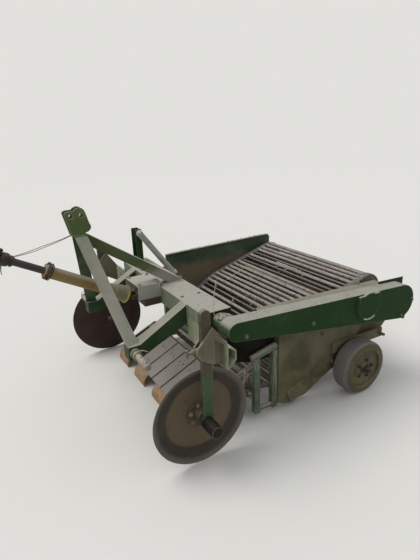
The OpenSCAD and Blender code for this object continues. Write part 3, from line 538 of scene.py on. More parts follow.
class Recipe(Graph):
    """A Geometry Nodes tree with named inputs, which ends in Realize Instances and Set Material."""

    def __init__(self, name: str, inputs: dict[str, Any]) -> None:
        """Makes the tree's sockets.

        Args:
            name: The tree's name.
            inputs: Each input's name and first value, from which its kind follows.
        """
        tree = bpy.data.node_groups.new(name, "GeometryNodeTree")
        tree.interface.new_socket("Geometry", in_out="INPUT", socket_type="NodeSocketGeometry")
        for label, value in inputs.items():
            kind = "NodeSocketInt" if isinstance(value, int) else "NodeSocketFloat"
            tree.interface.new_socket(label, in_out="INPUT", socket_type=kind).default_value = value
        tree.interface.new_socket("Material", in_out="INPUT", socket_type="NodeSocketMaterial")
        tree.interface.new_socket("Geometry", in_out="OUTPUT", socket_type="NodeSocketGeometry")
        super().__init__(tree)
        self.entry = self.node("NodeGroupInput")

    def taken(self, label: str) -> Socket:
        """Returns one of the tree's inputs."""
        return self.entry.outputs[label]

    def attribute(self, name: str) -> Socket:
        """Returns a vector that the points bring with them."""
        made = self.node("GeometryNodeInputNamedAttribute", {"Name": name}, data_type="FLOAT_VECTOR")
        return made.outputs["Attribute"]

    def facing(self, axis: str = "Z") -> Socket:
        """Returns the turn that points an axis along each point's own direction."""
        inputs = {"Vector": self.attribute("facing")}
        return self.node("FunctionNodeAlignRotationToVector", inputs, axis=axis).outputs[0]

    def turned(self, angles: Any) -> Socket:
        """Returns the turn by three angles."""
        return self.node("FunctionNodeEulerToRotation", {0: angles}).outputs[0]

    def twisted(self, aim: Socket, turn: Socket) -> Socket:
        """Returns a turn that follows another one about its own axes."""
        return self.node("FunctionNodeRotateRotation", {0: aim, 1: turn}, rotation_space="LOCAL").outputs[0]

    def odd(self) -> Socket:
        """Returns 1 for every other point and 0 for the rest."""
        return self.math("MODULO", self.node("GeometryNodeInputIndex").outputs[0], 2.0)

    def chance(self, low: float, high: float, seed: int) -> Socket:
        """Returns a random number between two."""
        inputs = {2: low, 3: high, "Seed": seed}
        return self.node("FunctionNodeRandomValue", inputs, data_type="FLOAT").outputs[1]

    def chances(self, low: Point, high: Point) -> Socket:
        """Returns a random vector between two, from the tree's seed."""
        inputs = {0: low, 1: high, "Seed": self.taken("Seed")}
        return self.node("FunctionNodeRandomValue", inputs, data_type="FLOAT_VECTOR").outputs[0]

    def circle(self, sides: int, radius: Any) -> Socket:
        """Returns a circle as a curve."""
        inputs = {"Resolution": sides, "Radius": radius}
        return self.node("GeometryNodeCurvePrimitiveCircle", inputs, mode="RADIUS").outputs[0]

    def stepped(self, curve: Socket, step: Any) -> Socket:
        """Returns a curve with its points at an even distance."""
        inputs = {"Curve": curve, "Length": step}
        return self.node("GeometryNodeResampleCurve", inputs, mode="LENGTH").outputs[0]

    def swept(self, curve: Socket, profile: Socket, scale: Any = 1.0, capped: bool = True) -> Socket:
        """Returns a profile that is carried along a curve."""
        inputs = {"Curve": curve, "Profile Curve": profile, "Scale": scale, "Fill Caps": capped}
        return self.node("GeometryNodeCurveToMesh", inputs).outputs[0]

    def joined(self, *shapes: Socket) -> Socket:
        """Returns several shapes as one.

        Args:
            shapes: The shapes.

        Returns:
            All of them.
        """
        made = self.node("GeometryNodeJoinGeometry")
        for shape in shapes:
            self.feed(made.inputs[0], shape)
        return made.outputs[0]

    def moved(self, shape: Socket, shift: Any) -> Socket:
        """Returns a shape at another place."""
        return self.node("GeometryNodeTransform", {0: shape, "Translation": shift}).outputs[0]

    def cylinder(self, sides: int, radius: Any, depth: Any, middle: Any) -> Socket:
        """Returns a cylinder along z, with its middle at a height."""
        made = self.node("GeometryNodeMeshCylinder", {"Vertices": sides, "Radius": radius, "Depth": depth})
        return self.moved(made.outputs["Mesh"], self.vector(z=middle))

    def finish(self, shape: Socket) -> None:
        """Ends the tree.

        Args:
            shape: What the tree makes.
        """
        real = self.node("GeometryNodeRealizeInstances", {0: shape}).outputs[0]
        dressed = self.node("GeometryNodeSetMaterial", {"Geometry": real, "Material": self.taken("Material")})
        self.node("NodeGroupOutput", {0: dressed.outputs[0]})

    def scatter(self, shape: Socket, turn: Socket, **inputs: Any) -> None:
        """Sets a shape on each point that comes in, and ends the tree."""
        points = {"Points": self.taken("Geometry"), "Instance": shape, "Rotation": turn, **inputs}
        self.finish(self.node("GeometryNodeInstanceOnPoints", points).outputs[0])

    def bake(self, source: bpy.types.Mesh, material: bpy.types.Material, **values: Any) -> bpy.types.Mesh:
        """Runs the tree on a mesh.

        Args:
            source: The points or lines that the tree starts from.
            material: What the result is made of.
            values: The tree's inputs.

        Returns:
            The result as a plain mesh.
        """
        holder = bpy.data.objects.new("holder", source)
        bpy.context.scene.collection.objects.link(holder)
        modifier = holder.modifiers.new("recipe", "NODES")
        modifier.node_group = self.tree
        sockets = {
            item.name: item.identifier
            for item in self.tree.interface.items_tree
            if item.item_type == "SOCKET" and item.in_out == "INPUT"
        }
        modifier[sockets["Material"]] = material
        for label, value in values.items():
            modifier[sockets[label]] = value
        ready = holder.evaluated_get(bpy.context.evaluated_depsgraph_get())
        made = bpy.data.meshes.new_from_object(ready)
        bpy.data.objects.remove(holder)
        return made


def mesh_of(points: Iterable[Sequence[float]], lines: Sequence[tuple[int, int]] = ()) -> bpy.types.Mesh:
    """Makes a mesh of loose points, or of lines between them.

    Args:
        points: The points.
        lines: The numbers of each line's two ends.

    Returns:
        The mesh.
    """
    mesh = bpy.data.meshes.new("shape")
    mesh.from_pydata([tuple(point) for point in points], list(lines), [])
    return mesh


def path_mesh(paths: Sequence[Sequence[Point]]) -> bpy.types.Mesh:
    """Makes a mesh of lines.

    Args:
        paths: The points of each line.

    Returns:
        The mesh.
    """
    points: list[Point] = []
    lines: list[tuple[int, int]] = []
    for path in paths:
        first = len(points)
        points += list(path)
        lines += [(first + i, first + i + 1) for i in range(len(path) - 1)]
    return mesh_of(points, lines)


def mark(mesh: bpy.types.Mesh, name: str, vectors: Iterable[Sequence[float]]) -> None:
    """Gives each point of a mesh a vector under a name."""
    made = mesh.attributes.new(name, "FLOAT_VECTOR", "POINT")
    made.data.foreach_set("vector", [value for vector in vectors for value in vector])


def soften(mesh: bpy.types.Mesh, angle: float) -> bpy.types.Mesh:
    """Shades a mesh smooth apart from its sharp edges.

    Args:
        mesh: The mesh.
        angle: Edges that turn more than this stay sharp, in degrees.

    Returns:
        The same mesh.
    """
    mesh.polygons.foreach_set("use_smooth", [True] * len(mesh.polygons))
    mesh.set_sharp_from_angle(angle=math.radians(angle))
    mesh.update()
    return mesh


@dataclass
class Shape:
    """Points and faces that grow piece by piece into one mesh."""

    points: list[Vector] = field(default_factory=list)
    faces: list[tuple[int, ...]] = field(default_factory=list)

    def ring(self, points: Iterable[Sequence[float]]) -> list[int]:
        """Adds points.

        Args:
            points: Their places.

        Returns:
            Their numbers.
        """
        first = len(self.points)
        self.points += [Vector(point) for point in points]
        return list(range(first, len(self.points)))

    def join(self, low: Sequence[int], high: Sequence[int]) -> None:
        """Joins two rings with faces.

        Args:
            low: The numbers of one ring's points.
            high: Those of the other ring.
        """
        count = len(low)
        for i in range(count):
            after = (i + 1) % count
            self.faces.append((low[i], low[after], high[after], high[i]))

    def lathe(self, profile: Sequence[Flat], centre: Sequence[float], axis: Sequence[float],
              sides: int) -> None:
        """Adds a turned shape.

        Args:
            profile: Closed outline of [radius, distance along the axis].
            centre: Where the distances start.
            axis: The direction of the axis.
            sides: How many faces go round.
        """
        along = Vector(axis).normalized()
        across = along.orthogonal().normalized()
        other = along.cross(across)
        ways = [across * math.cos(t) + other * math.sin(t) for t in turns(sides)]
        rings: list[list[int]] = []
        for radius, distance in profile:
            middle = Vector(centre) + along * distance
            if radius < 1e-6:
                rings.append(self.ring([middle]) * sides)
            else:
                rings.append(self.ring(middle + way * radius for way in ways))
        for low, high in zip(rings, rings[1:] + rings[:1]):
            self.join(low, high)

    def tube(self, path: Sequence[Sequence[float]], radius: float | Callable[[float], float], sides: int = 12,
             closed: bool = False, flat: float = 1.0) -> None:
        """Adds a round bar along a path.

        Args:
            path: The points that it follows.
            radius: Its radius, or a rule that gives it from 0 at the start to 1 at the end.
            sides: How many faces go round.
            closed: Whether the end joins the start.
            flat: The share of the radius that is left along the second direction.
        """
        points = [Vector(point) for point in path]
        count = len(points)
        rings: list[list[int]] = []
        across: Vector | None = None
        for i, point in enumerate(points):
            before = points[i - 1] if i or closed else point
            after = points[(i + 1) % count] if i < count - 1 or closed else point
            along = (after - before).normalized()
            if across is None:
                across = along.orthogonal().normalized()
            across = (across - along * across.dot(along)).normalized()
            other = along.cross(across)
            size = radius(i / max(1, count - 1)) if callable(radius) else radius
            ways = [across * math.cos(t) + other * math.sin(t) * flat for t in turns(sides)]
            rings.append(self.ring(point + way * size for way in ways))
        for low, high in zip(rings, rings[1:]):
            self.join(low, high)
        if closed:
            self.join(rings[-1], rings[0])
        else:
            self.faces += [tuple(reversed(rings[0])), tuple(rings[-1])]

    def plate(self, outline: Sequence[Flat], place: Callable[[float, float, float], Point],
              thick: float) -> None:
        """Adds a plate of any outline.

        Args:
            outline: Its corners, as two distances.
            place: Puts two distances and a height at their place.
            thick: The plate's thickness.
        """
        low = self.ring(place(a, b, 0.0) for a, b in outline)
        high = self.ring(place(a, b, thick) for a, b in outline)
        self.join(low, high)
        self.faces += [tuple(reversed(low)), tuple(high)]

    def box(self, low: Sequence[float], high: Sequence[float]) -> None:
        """Adds a block between two corners."""
        corners = [(low[0], low[1]), (high[0], low[1]), (high[0], high[1]), (low[0], high[1])]
        self.plate(corners, lambda x, y, z: (x, y, low[2] + z), high[2] - low[2])

    def mesh(self, bevel: float = 0.0, smooth: float = 35.0) -> bpy.types.Mesh:
        """Makes the mesh, with its doubles merged and its faces turned outwards.

        Args:
            bevel: Width of the bevel on sharp edges.
            smooth: Edges that turn less than this angle are shaded smooth.

        Returns:
            The mesh.
        """
        work = bmesh.new()
        corners = [work.verts.new(point) for point in self.points]
        for face in self.faces:
            used = list(dict.fromkeys(face))
            if len(used) > 2 and not work.faces.get([corners[i] for i in used]):
                work.faces.new([corners[i] for i in used])
        bmesh.ops.remove_doubles(work, verts=work.verts, dist=1e-6)
        bmesh.ops.dissolve_degenerate(work, edges=work.edges, dist=1e-6)
        bmesh.ops.recalc_face_normals(work, faces=work.faces)
        if bevel:
            shared = [edge for edge in work.edges if len(edge.link_faces) == 2]
            sharp = [edge for edge in shared if edge.calc_face_angle() > 0.6]
            options = {"segments": 2, "profile": 0.6, "affect": "EDGES", "clamp_overlap": True}
            bmesh.ops.bevel(work, geom=sharp, offset=bevel, **options)
        mesh = bpy.data.meshes.new("shape")
        work.to_mesh(mesh)
        work.free()
        return soften(mesh, smooth)


def lathed(profile: Sequence[Flat], centre: Sequence[float], axis: Sequence[float], sides: int,
           bevel: float = 0.0, smooth: float = 35.0) -> bpy.types.Mesh:
    """Makes one turned shape.

    Args:
        profile: Closed outline of [radius, distance along the axis].
        centre: Where the distances start.
        axis: The direction of the axis.
        sides: How many faces go round.
        bevel: Width of the bevel on sharp edges.
        smooth: Edges that turn less than this angle are shaded smooth.

    Returns:
        The mesh.
    """
    shape = Shape()
    shape.lathe(profile, centre, axis, sides)
    return shape.mesh(bevel, smooth)


class Bench:
    """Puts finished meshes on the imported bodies."""

    def __init__(self, nodes: dict[str, bpy.types.Object]) -> None:
        """Finds the disc axles and builds the shared effects and trees.

        Args:
            nodes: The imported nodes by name.
        """
        self.nodes = nodes
        low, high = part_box("disc_left")
        self.axle_x = (low.x + high.x) / 2
        self.shift = Vector((self.axle_x, 0.0, 0.0))
        self.shared = Weathering(self.axle_x)
        self.materials: dict[str, bpy.types.Material] = {}
        self.bolt_recipe = self._bolts()
        self.bead_recipe = self._beads()
        self.crumb_recipe = self._crumbs()
        self.count = 0

    def material(self, finish: Finish) -> bpy.types.Material:
        """Gives a finish's material, which is built once.

        Args:
            finish: The finish.

        Returns:
            Its material.
        """
        if finish.title not in self.materials:
            self.materials[finish.title] = finish.build(self.shared)
        return self.materials[finish.title]

    def dress(self, node: str, finish: Finish) -> None:
        """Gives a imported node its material.

        Args:
            node: The node's name.
            finish: Its surface.
        """
        mesh = self.nodes[node].data
        mesh.materials.clear()
        mesh.materials.append(self.material(finish))

    def _object(self, name: str, mesh: bpy.types.Mesh, finish: Finish) -> bpy.types.Object:
        """Makes an object of a mesh that was drawn with x counted from the disc axles.

        Args:
            name: The object's name.
            mesh: Its mesh.
            finish: Its surface.

        Returns:
            The object.
        """
        mesh.transform(Matrix.Translation(self.shift))
        mesh.name = name
        mesh.materials.clear()
        mesh.materials.append(self.material(finish))
        for polygon in mesh.polygons:
            polygon.material_index = 0
        made = bpy.data.objects.new(name, mesh)
        bpy.context.scene.collection.objects.link(made)
        self.count += 1
        return made

    def piece(self, name: str, mesh: bpy.types.Mesh, finish: Finish, slot: Slot,
              body: Body = Body.CHASSIS, replaces: Sequence[str] = ()) -> None:
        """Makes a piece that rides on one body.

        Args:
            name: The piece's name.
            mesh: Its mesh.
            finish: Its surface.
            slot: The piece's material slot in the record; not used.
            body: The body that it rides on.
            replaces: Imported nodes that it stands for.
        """
        made = self._object(name, mesh, finish)
        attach(made, body.value)
        if replaces:
            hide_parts(*replaces)
        log.info("%s: %d faces on %s", name, len(mesh.polygons), body.value)

    def strand(self, name: str, mesh: bpy.types.Mesh,
               finish: Finish) -> None:
        """Makes a piece that lies between two bodies but rides on neither, with its place baked into its
        mesh.
            finish: Its surface.
        """
        made = self._object(name, mesh, finish)
        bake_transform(made)

    @staticmethod
    def _bolts() -> Recipe:
        """Builds the tree that sets a hexagon bolt head with its washer on each point.

        Returns:
            The tree.
        """
        recipe = Recipe("Bolt heads", {"Head": 0.62, "Washer": 0.13, "Stud": 0.25})
        head, washer, stud = recipe.taken("Head"), recipe.taken("Washer"), recipe.taken("Stud")
        ring = recipe.cylinder(18, 0.98, washer, recipe.math("MULTIPLY", washer, 0.5))
        middle = recipe.math("ADD", washer, recipe.math("MULTIPLY", head, 0.5))
        body = recipe.cylinder(6, 0.577, head, middle)
        cap = recipe.math("ADD", washer, head)
        chamfer = {"Vertices": 12, "Radius Top": 0.40, "Radius Bottom": 0.5, "Depth": 0.05}
        top = recipe.node("GeometryNodeMeshCone", chamfer).outputs["Mesh"]
        top = recipe.moved(top, recipe.vector(z=cap))
        reach = recipe.math("ADD", cap, recipe.math("MULTIPLY", stud, 0.5))
        thread = recipe.cylinder(12, 0.30, stud, reach)
        spin = recipe.turned(recipe.vector(z=recipe.chance(0.0, 6.28, 7)))
        aim = recipe.twisted(recipe.facing(), spin)
        recipe.scatter(recipe.joined(ring, body, top, thread), aim, Scale=recipe.attribute("size"))
        return recipe

    @staticmethod
    def _beads() -> Recipe:
        """Builds the tree that lays a rippled weld bead along each line.

        Returns:
            The tree.
        """
        recipe = Recipe("Weld beads", {"Radius": 0.004, "Step": 0.004})
        curve = recipe.node("GeometryNodeMeshToCurve", {0: recipe.taken("Geometry")}).outputs[0]
        curve = recipe.stepped(curve, recipe.taken("Step"))
        ripple = recipe.math("ADD", 0.82, recipe.math("MULTIPLY", recipe.odd(), 0.3))
        scale = recipe.math("MULTIPLY", ripple, recipe.chance(0.8, 1.15, 3))
        recipe.finish(recipe.swept(curve, recipe.circle(7, recipe.taken("Radius")), scale))
        return recipe

    @staticmethod
    def _crumbs() -> Recipe:
        """Builds the tree that sets a rough crumb on each point, turned and scaled at random.

        Returns:
            The tree.
        """
        recipe = Recipe("Crumbs", {"Radius": 0.005, "Roughness": 0.7, "Seed": 2})
        ball = recipe.node("GeometryNodeMeshIcoSphere", {"Radius": 1.0, "Subdivisions": 2}).outputs["Mesh"]
        lumps = recipe.noise(recipe.node("GeometryNodeInputPosition").outputs[0], 1.4, detail=3.0)
        push = recipe.math("MULTIPLY", recipe.math("SUBTRACT", lumps, 0.5), recipe.taken("Roughness"))
        offset = recipe.scaled(recipe.node("GeometryNodeInputNormal").outputs[0], push)
        crumb = recipe.node("GeometryNodeSetPosition", {"Geometry": ball, "Offset": offset}).outputs[0]
        turn = recipe.turned(recipe.chances((0.0,) * 3, (6.28,) * 3))
        scale = recipe.scaled(recipe.chances((0.4, 0.5, 0.3), (1.5, 1.2, 0.9)), recipe.taken("Radius"))
        recipe.scatter(crumb, turn, Scale=scale)
        return recipe

    def bolts(self, name: str, spots: Sequence[Spot], finish: Finish, slot: Slot,
              body: Body = Body.CHASSIS, **sizes: float) -> None:
        """Makes one piece of the bolt heads at these spots.

        Args:
            name: The piece's name.
            spots: The places of the bolts.
            finish: Their surface.
            slot: Their material slot in the record, which is handed on to piece.
            body: The body that they ride on.
            sizes: Inputs of the bolts' tree.
        """
        source = mesh_of([spot.place for spot in spots])
        mark(source, "facing", [spot.facing for spot in spots])
        mark(source, "size", [(spot.size,) * 3 for spot in spots])
        mesh = self.bolt_recipe.bake(source, self.material(finish), **sizes)
        self.piece(name, soften(mesh, 30.0), finish, slot, body)

    def welds(self, name: str, paths: Sequence[Sequence[Point]], finish: Finish, slot: Slot,
              radius: float) -> None:
        """Makes one piece of the weld beads along these paths on the chassis."""
        mesh = self.bead_recipe.bake(path_mesh(paths), self.material(finish), Radius=radius)
        self.piece(name, soften(mesh, 60.0), finish, slot)


# Finishes

GREEN = Finish(
    "Green paint", base=(33, 58, 27), worn=(58, 70, 40), wear=0.42, patch=7.0, scratches=0.3,
    edge=(112, 116, 92), bare=0.45, soil=(88, 78, 56), soiled=0.4, dust=(168, 164, 150), dusty=0.88,
    film=0.06, shine=0.12,
)
OLIVE = Finish(
    "Green paint rubbed by soil", base=(66, 66, 42), worn=(38, 62, 36), wear=0.30, patch=5.0,
    scratches=0.3, edge=(112, 102, 74), bare=0.6, rusty=0.22, soil=(98, 84, 56), soiled=0.75,
    dust=(140, 132, 108), dusty=0.75, film=0.22, rough=0.74,
)
LEAF = Finish(
    "Mast head paint", base=(62, 79, 31), worn=(80, 88, 50), wear=0.35, scratches=0.3,
    edge=(150, 154, 128), bare=0.8, soiled=0.4, dust=(150, 150, 124), dusty=0.7, rough=0.5,
)
FADED = Finish(
    "Faded chalky paint", base=(110, 118, 86), worn=(158, 160, 132), wear=0.5, patch=22.0, stretch=0.22,
    edge=(148, 156, 98), bare=0.7, rusty=0.08, soiled=0.2, dust=(180, 178, 164), dusty=0.9, film=0.08,
    rough=0.85,
)
DUSTY = Finish(
    "Dusty beam paint", base=(94, 106, 84), worn=(120, 126, 104), wear=0.5, stretch=0.5, scratches=0.15,
    edge=(168, 166, 150), bare=0.4, rusty=0.04, dust=(164, 161, 152), dusty=1.2, film=0.16, rough=0.82,
    shine=0.2,
)
PALE_STRUT = Finish(
    "Pale dusty strut", base=(150, 156, 140), worn=(124, 134, 112), patch=7.0, scratches=0.15,
    edge=(176, 174, 160), bare=0.4, rusty=0.05, soiled=0.1, dust=(184, 182, 172), dusty=0.9, film=0.25,
    rough=0.85,
)
GUARD_GREEN = Finish(
    "Chain guard paint", base=(27, 55, 24), worn=(38, 66, 32), wear=0.30, patch=3.5, scratches=0.10,
    edge=(150, 146, 126), bare=0.75, edge_width=0.005, rusty=0.03, soiled=0.10, dust=(157, 156, 146),
    dusty=1.0, film=0.01, ahead=0.10, shine=0.10,
)
ARM_GREEN = Finish(
    "Lower arm paint", base=(33, 60, 32), worn=(52, 68, 42), wear=0.35, patch=6.0, edge=(132, 134, 108),
    bare=0.6, rusty=0.08, soil=(92, 80, 56), soiled=0.2, dust=(160, 158, 144), dusty=0.85, film=0.04,
    shine=0.12,
)
STAY_GREEN = Finish(
    "Stay paint", base=(62, 74, 35), worn=(76, 86, 50), wear=0.35, patch=6.0, scratches=0.15,
    edge=(140, 146, 118), bare=0.6, rusty=0.05, dust=(178, 180, 168), dusty=1.15, film=0.04, shine=0.15,
    lower=(134, 136, 120), lower_from=1.01, lower_to=0.86,
)
FAR_PLATE = Finish(
    "Far side plate", base=(42, 64, 42), worn=(62, 78, 54), patch=5.0, scratches=0.25,
    edge=(130, 124, 102), bare=0.5, soiled=0.2, dust=(156, 150, 134), dusty=0.9, film=0.07, rough=0.7,
    lower=(94, 83, 64), lower_from=0.74, lower_to=0.64,
)
# Painted shade: the near black lower colour stands for the shadow that the chain guard casts on the near side
# plate.
NEAR_PLATE_PAINTED_SHADE = Finish(
    "Near side plate with painted shade", base=(30, 46, 30), worn=(40, 50, 34), wear=0.35, patch=5.0, scratches=0.15,
    edge=(96, 94, 76), bare=0.4, rusty=0.05, dust=(150, 145, 130), film=0.02, rough=0.85, shine=0.08,
    lower=(17, 18, 11), lower_from=0.70, lower_to=0.62,
)
DISC_ARM = Finish(
    "Disc arm", base=(60, 53, 40), worn=(78, 70, 52), wear=0.35, patch=9.0, scratches=0.15,
    edge=(164, 156, 134), bare=0.9, edge_width=0.0035, rusty=0.15, soiled=0.2, dust=(140, 132, 114),
    dusty=0.7, film=0.06, rough=0.7, lower=(46, 72, 38), lower_from=0.62, lower_to=0.53,
)
CLAMP = Finish(
    "Worn clamp", base=(92, 87, 70), worn=(70, 64, 50), patch=14.0, edge=(176, 168, 146), bare=1.0,
    rusty=0.15, dust=(150, 144, 126), rough=0.75,
)
# Painted light: the darker band round the disc's dish is painted shade, and the paler rim on its outer edge
# is a painted highlight.
DISC = Finish(
    "Near disc with painted shade and highlight", base=(92, 80, 61), worn=(78, 68, 52), patch=7.0, scratches=0.10, edge=(128, 122, 108),
    bare=0.5, rust=(78, 60, 44), rusty=0.15, dust=(128, 118, 100), dusty=0.3, film=0.05, metal=0.10,
    rough=0.75, grain=0.0008, band=(52, 45, 38), rim=(94, 90, 82),
)
COVER_GREY = Finish(
    "Dusty sheet cover", base=(146, 148, 136), worn=(122, 130, 112), scratches=0.15, edge=(176, 174, 160),
    bare=0.4, rusty=0.04, dust=(178, 175, 165), dusty=1.1, film=0.2, rough=0.85, shine=0.2,
)
POST_GREEN = Finish(
    "Chalky post paint", base=(66, 88, 66), worn=(128, 134, 114), wear=0.45, patch=16.0, stretch=0.25,
    edge=(150, 150, 130), bare=0.7, soil=(70, 60, 46), soiled=0.5, dust=(156, 148, 134), dusty=1.0,
    film=0.12, rough=0.75,
)
BOSS_BLACK = Finish(
    "Greasy black boss", base=(21, 18, 17), worn=(34, 30, 27), wear=0.35, patch=18.0, scratches=0.05,
    edge=(46, 41, 36), rusty=0.05, dust=(78, 70, 60), dusty=0.12, film=0.01, rough=0.55, shine=0.2,
)
CAKED_BAR = Finish(
    "Caked web bars", base=(177, 170, 161), worn=(142, 135, 127), wear=0.5, patch=24.0, scratches=0.0,
    edge=(150, 144, 138), bare=0.1, rust=(104, 88, 74), rusty=0.25, dust=(170, 162, 156), dusty=0.6,
    film=0.15, rough=0.95, grain=0.0015,
)
# Partly painted shade: this dark brown on the thick lower run of bars is damp soil and also the shade under
# the machine, and it nearly closes the gaps to the pale floor.
SOIL_AND_SHADE_BAR = Finish(
    "Web bars in damp soil and painted shade", base=(84, 72, 58), worn=(62, 52, 42), wear=0.5, patch=20.0, scratches=0.0,
    edge=(96, 86, 72), bare=0.1, soiled=0.2, dust=(112, 102, 88), dusty=0.4, rough=0.95, grain=0.0015,
)
CLOD = Finish(
    "Dry soil", base=(136, 125, 109), worn=(110, 98, 82), wear=0.45, patch=40.0, scratches=0.0, bare=0.0,
    rusty=0.05, dust=(166, 158, 146), dusty=0.6, film=0.2, rough=0.97, grain_scale=420.0, grain=0.0012,
    shine=0.15,
)
STRAW = Finish(
    "Dry stalks", base=(190, 178, 140), worn=(156, 142, 106), patch=40.0, scratches=0.0, bare=0.0,
    rusty=0.0, dusty=0.2, rough=0.9,
)
CONE_GREY = Finish(
    "Cone under dust", base=(106, 102, 72), worn=(130, 123, 68), wear=0.35, patch=22.0, scratches=0.15,
    edge=(176, 172, 120), rust=(104, 98, 72), rusty=0.2, dust=(136, 133, 116), dusty=1.0, film=0.22,
    rough=0.65,
)
GREY_LEG = Finish(
    "Grey dusty leg", base=(122, 124, 110), worn=(106, 110, 92), patch=6.0, edge=(156, 156, 146),
    rusty=0.04, soiled=0.4, dust=(156, 154, 141), film=0.30, rough=0.85, shine=0.2,
)
STEEL = Finish(
    "Soil worn steel", base=(112, 107, 102), worn=(90, 82, 76), wear=0.45, patch=14.0, scratches=0.4,
    edge=(150, 146, 140), bare=0.5, rusty=0.25, soiled=0.15, dust=(150, 142, 132), dusty=0.5, film=0.18,
    metal=0.55, rough=0.55,
)
SLAT_STEEL = Finish(
    "Dusty slats", base=(132, 125, 119), worn=(110, 103, 96), patch=12.0, scratches=0.3,
    edge=(158, 150, 140), bare=0.5, rust=(126, 92, 64), rusty=0.16, dust=(149, 143, 135), dusty=0.75,
    film=0.2, metal=0.1, rough=0.8,
)
BAR_STEEL = Finish(
    "Web bars", base=(110, 106, 104), worn=(78, 72, 68), wear=0.5, patch=22.0, edge=(140, 136, 132),
    bare=0.2, rust=(92, 76, 62), rusty=0.30, dust=(148, 142, 136), dusty=0.55, film=0.15, metal=0.35,
    grain=0.0008,
)
SHARE = Finish(
    "Rusting share", base=(156, 128, 96), worn=(130, 94, 64), wear=0.5, patch=34.0, scratches=0.3,
    edge=(206, 176, 134), bare=0.6, rust=(126, 78, 46), rusty=0.3, soiled=0.1, dust=(170, 150, 120),
    dusty=0.3, metal=0.3, rough=0.7,
)
IRON = Finish(
    "Rusty iron", base=(70, 60, 48), worn=(50, 46, 38), wear=0.45, patch=10.0, scratches=0.15,
    edge=(110, 100, 82), bare=0.5, rust=(86, 58, 40), rusty=0.35, soiled=0.3, dust=(138, 128, 110),
    dusty=0.6, film=0.16, metal=0.15, rough=0.8, grain=0.0008,
)
DARK_IRON = Finish(
    "Dark greasy iron", base=(36, 30, 28), worn=(54, 44, 38), patch=16.0, scratches=0.1,
    edge=(84, 74, 64), bare=0.35, rust=(62, 44, 36), rusty=0.25, soiled=0.1, dust=(110, 100, 88),
    dusty=0.45, metal=0.2, rough=0.55,
)
FAR_DISC = Finish(
    "Far disc", base=(46, 31, 27), worn=(38, 26, 24), wear=0.45, scratches=0.1, edge=(80, 66, 58),
    rust=(64, 42, 34), rusty=0.25, soiled=0.12, dust=(110, 96, 84), dusty=0.3, film=0.05, metal=0.1,
    rough=0.75,
)
RUBBER = Finish(
    "Worn grey rubber", base=(80, 75, 54), worn=(92, 84, 64), wear=0.45, patch=12.0, scratches=0.25,
    edge=(126, 124, 122), rust=(92, 80, 74), rusty=0.22, soiled=0.1, dust=(136, 134, 130), dusty=0.4,
    rough=0.88, grain=0.0006, shine=0.25, band=(112, 110, 106), rim=(108, 106, 102), axle_z=0.194,
    behind=1.289, crease=0.186, rim_from=0.240,
)
BELT = Finish(
    "Grey web belt", base=(96, 96, 97), worn=(76, 74, 74), patch=18.0, edge=(120, 118, 116), bare=0.4,
    rust=(84, 76, 68), rusty=0.15, soiled=0.1, dust=(132, 128, 122), dusty=0.5, film=0.14, rough=0.9,
    shine=0.2,
)
GUARD_YELLOW = Finish(
    "Yellow guard under dirt", base=(118, 97, 46), worn=(98, 80, 44), wear=0.5, patch=9.0, scratches=0.25,
    edge=(158, 138, 82), rust=(92, 70, 40), rusty=0.2, dust=(152, 140, 124), dusty=1.25, rough=0.65,
)
CONE_YELLOW = Finish(
    "Yellow cone", base=(170, 156, 44), worn=(132, 124, 62), wear=0.45, patch=20.0, edge=(176, 168, 92),
    rust=(96, 88, 52), rusty=0.2, dust=(126, 124, 100), dusty=1.0, film=0.15, rough=0.5,
)
BLACK_TUBE = Finish(
    "Black tube", base=(40, 37, 37), worn=(58, 54, 52), wear=0.35, patch=14.0, edge=(80, 76, 72),
    rusty=0.08, dust=(90, 84, 78), dusty=0.45, film=0.08, rough=0.5,
)
PALE_STEEL = Finish(
    "Dusty hitch pin", base=(142, 134, 119), worn=(104, 96, 83), patch=24.0, scratches=0.3,
    edge=(186, 180, 166), bare=0.5, rust=(112, 90, 70), rusty=0.22, dust=(170, 163, 149), dusty=0.6,
    film=0.15, metal=0.1, rough=0.8,
)
TWINE = Finish(
    "Red brown twine", base=(112, 52, 42), worn=(84, 42, 36), patch=60.0, scratches=0.0, bare=0.0,
    rusty=0.0, dusty=0.2, film=0.05, rough=0.9,
)

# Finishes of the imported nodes

DRESSING: dict[str, Finish] = {
    "main_beam": DUSTY, "stub_tube_left": FADED, "stub_tube_right": FADED, "mast_leg_left": GREY_LEG,
    "mast_leg_right": GREEN, "mast_head": LEAF, "mast_stay": STAY_GREEN, "lower_arm_left": ARM_GREEN,
    "lower_arm_right": ARM_GREEN, "hitch_pin_left": PALE_STEEL, "hitch_pin_right": PALE_STEEL,
    "gearbox": IRON, "gearbox_cover": COVER_GREY, "chain_guard": GUARD_GREEN,
    "side_plate_left": NEAR_PLATE_PAINTED_SHADE, "side_plate_right": FAR_PLATE, "side_casing_left": OLIVE,
    "side_casing_right": OLIVE, "side_frame_left": POST_GREEN, "side_frame_right": POST_GREEN,
    "cross_tube": GREEN, "web": BAR_STEEL, "drive_roller": STEEL, "idle_rollers": STEEL,
    "share_slats": SLAT_STEEL, "share_carrier": IRON, "share_blades": SHARE, "strut_post": GREEN,
    "strut": PALE_STRUT, "disc_arm_left": DISC_ARM, "disc_arm_right": DISC_ARM, "disc_clamp_left": CLAMP,
    "disc_clamp_right": CLAMP, "wheel_arm_left": OLIVE, "wheel_arm_right": OLIVE, "disc_left": DISC,
    "disc_right": FAR_DISC, "disc_hub_left": IRON, "disc_hub_right": DARK_IRON, "tyre_left": RUBBER,
    "tyre_right": RUBBER, "wheel_rim_left": OLIVE, "wheel_rim_right": OLIVE, "guard_cone": CONE_GREY,
    "guard_tube": GUARD_YELLOW, "drive_joint": DARK_IRON, "inner_tube": BLACK_TUBE,
    "front_yoke": DARK_IRON,
}


# Sub-assemblies


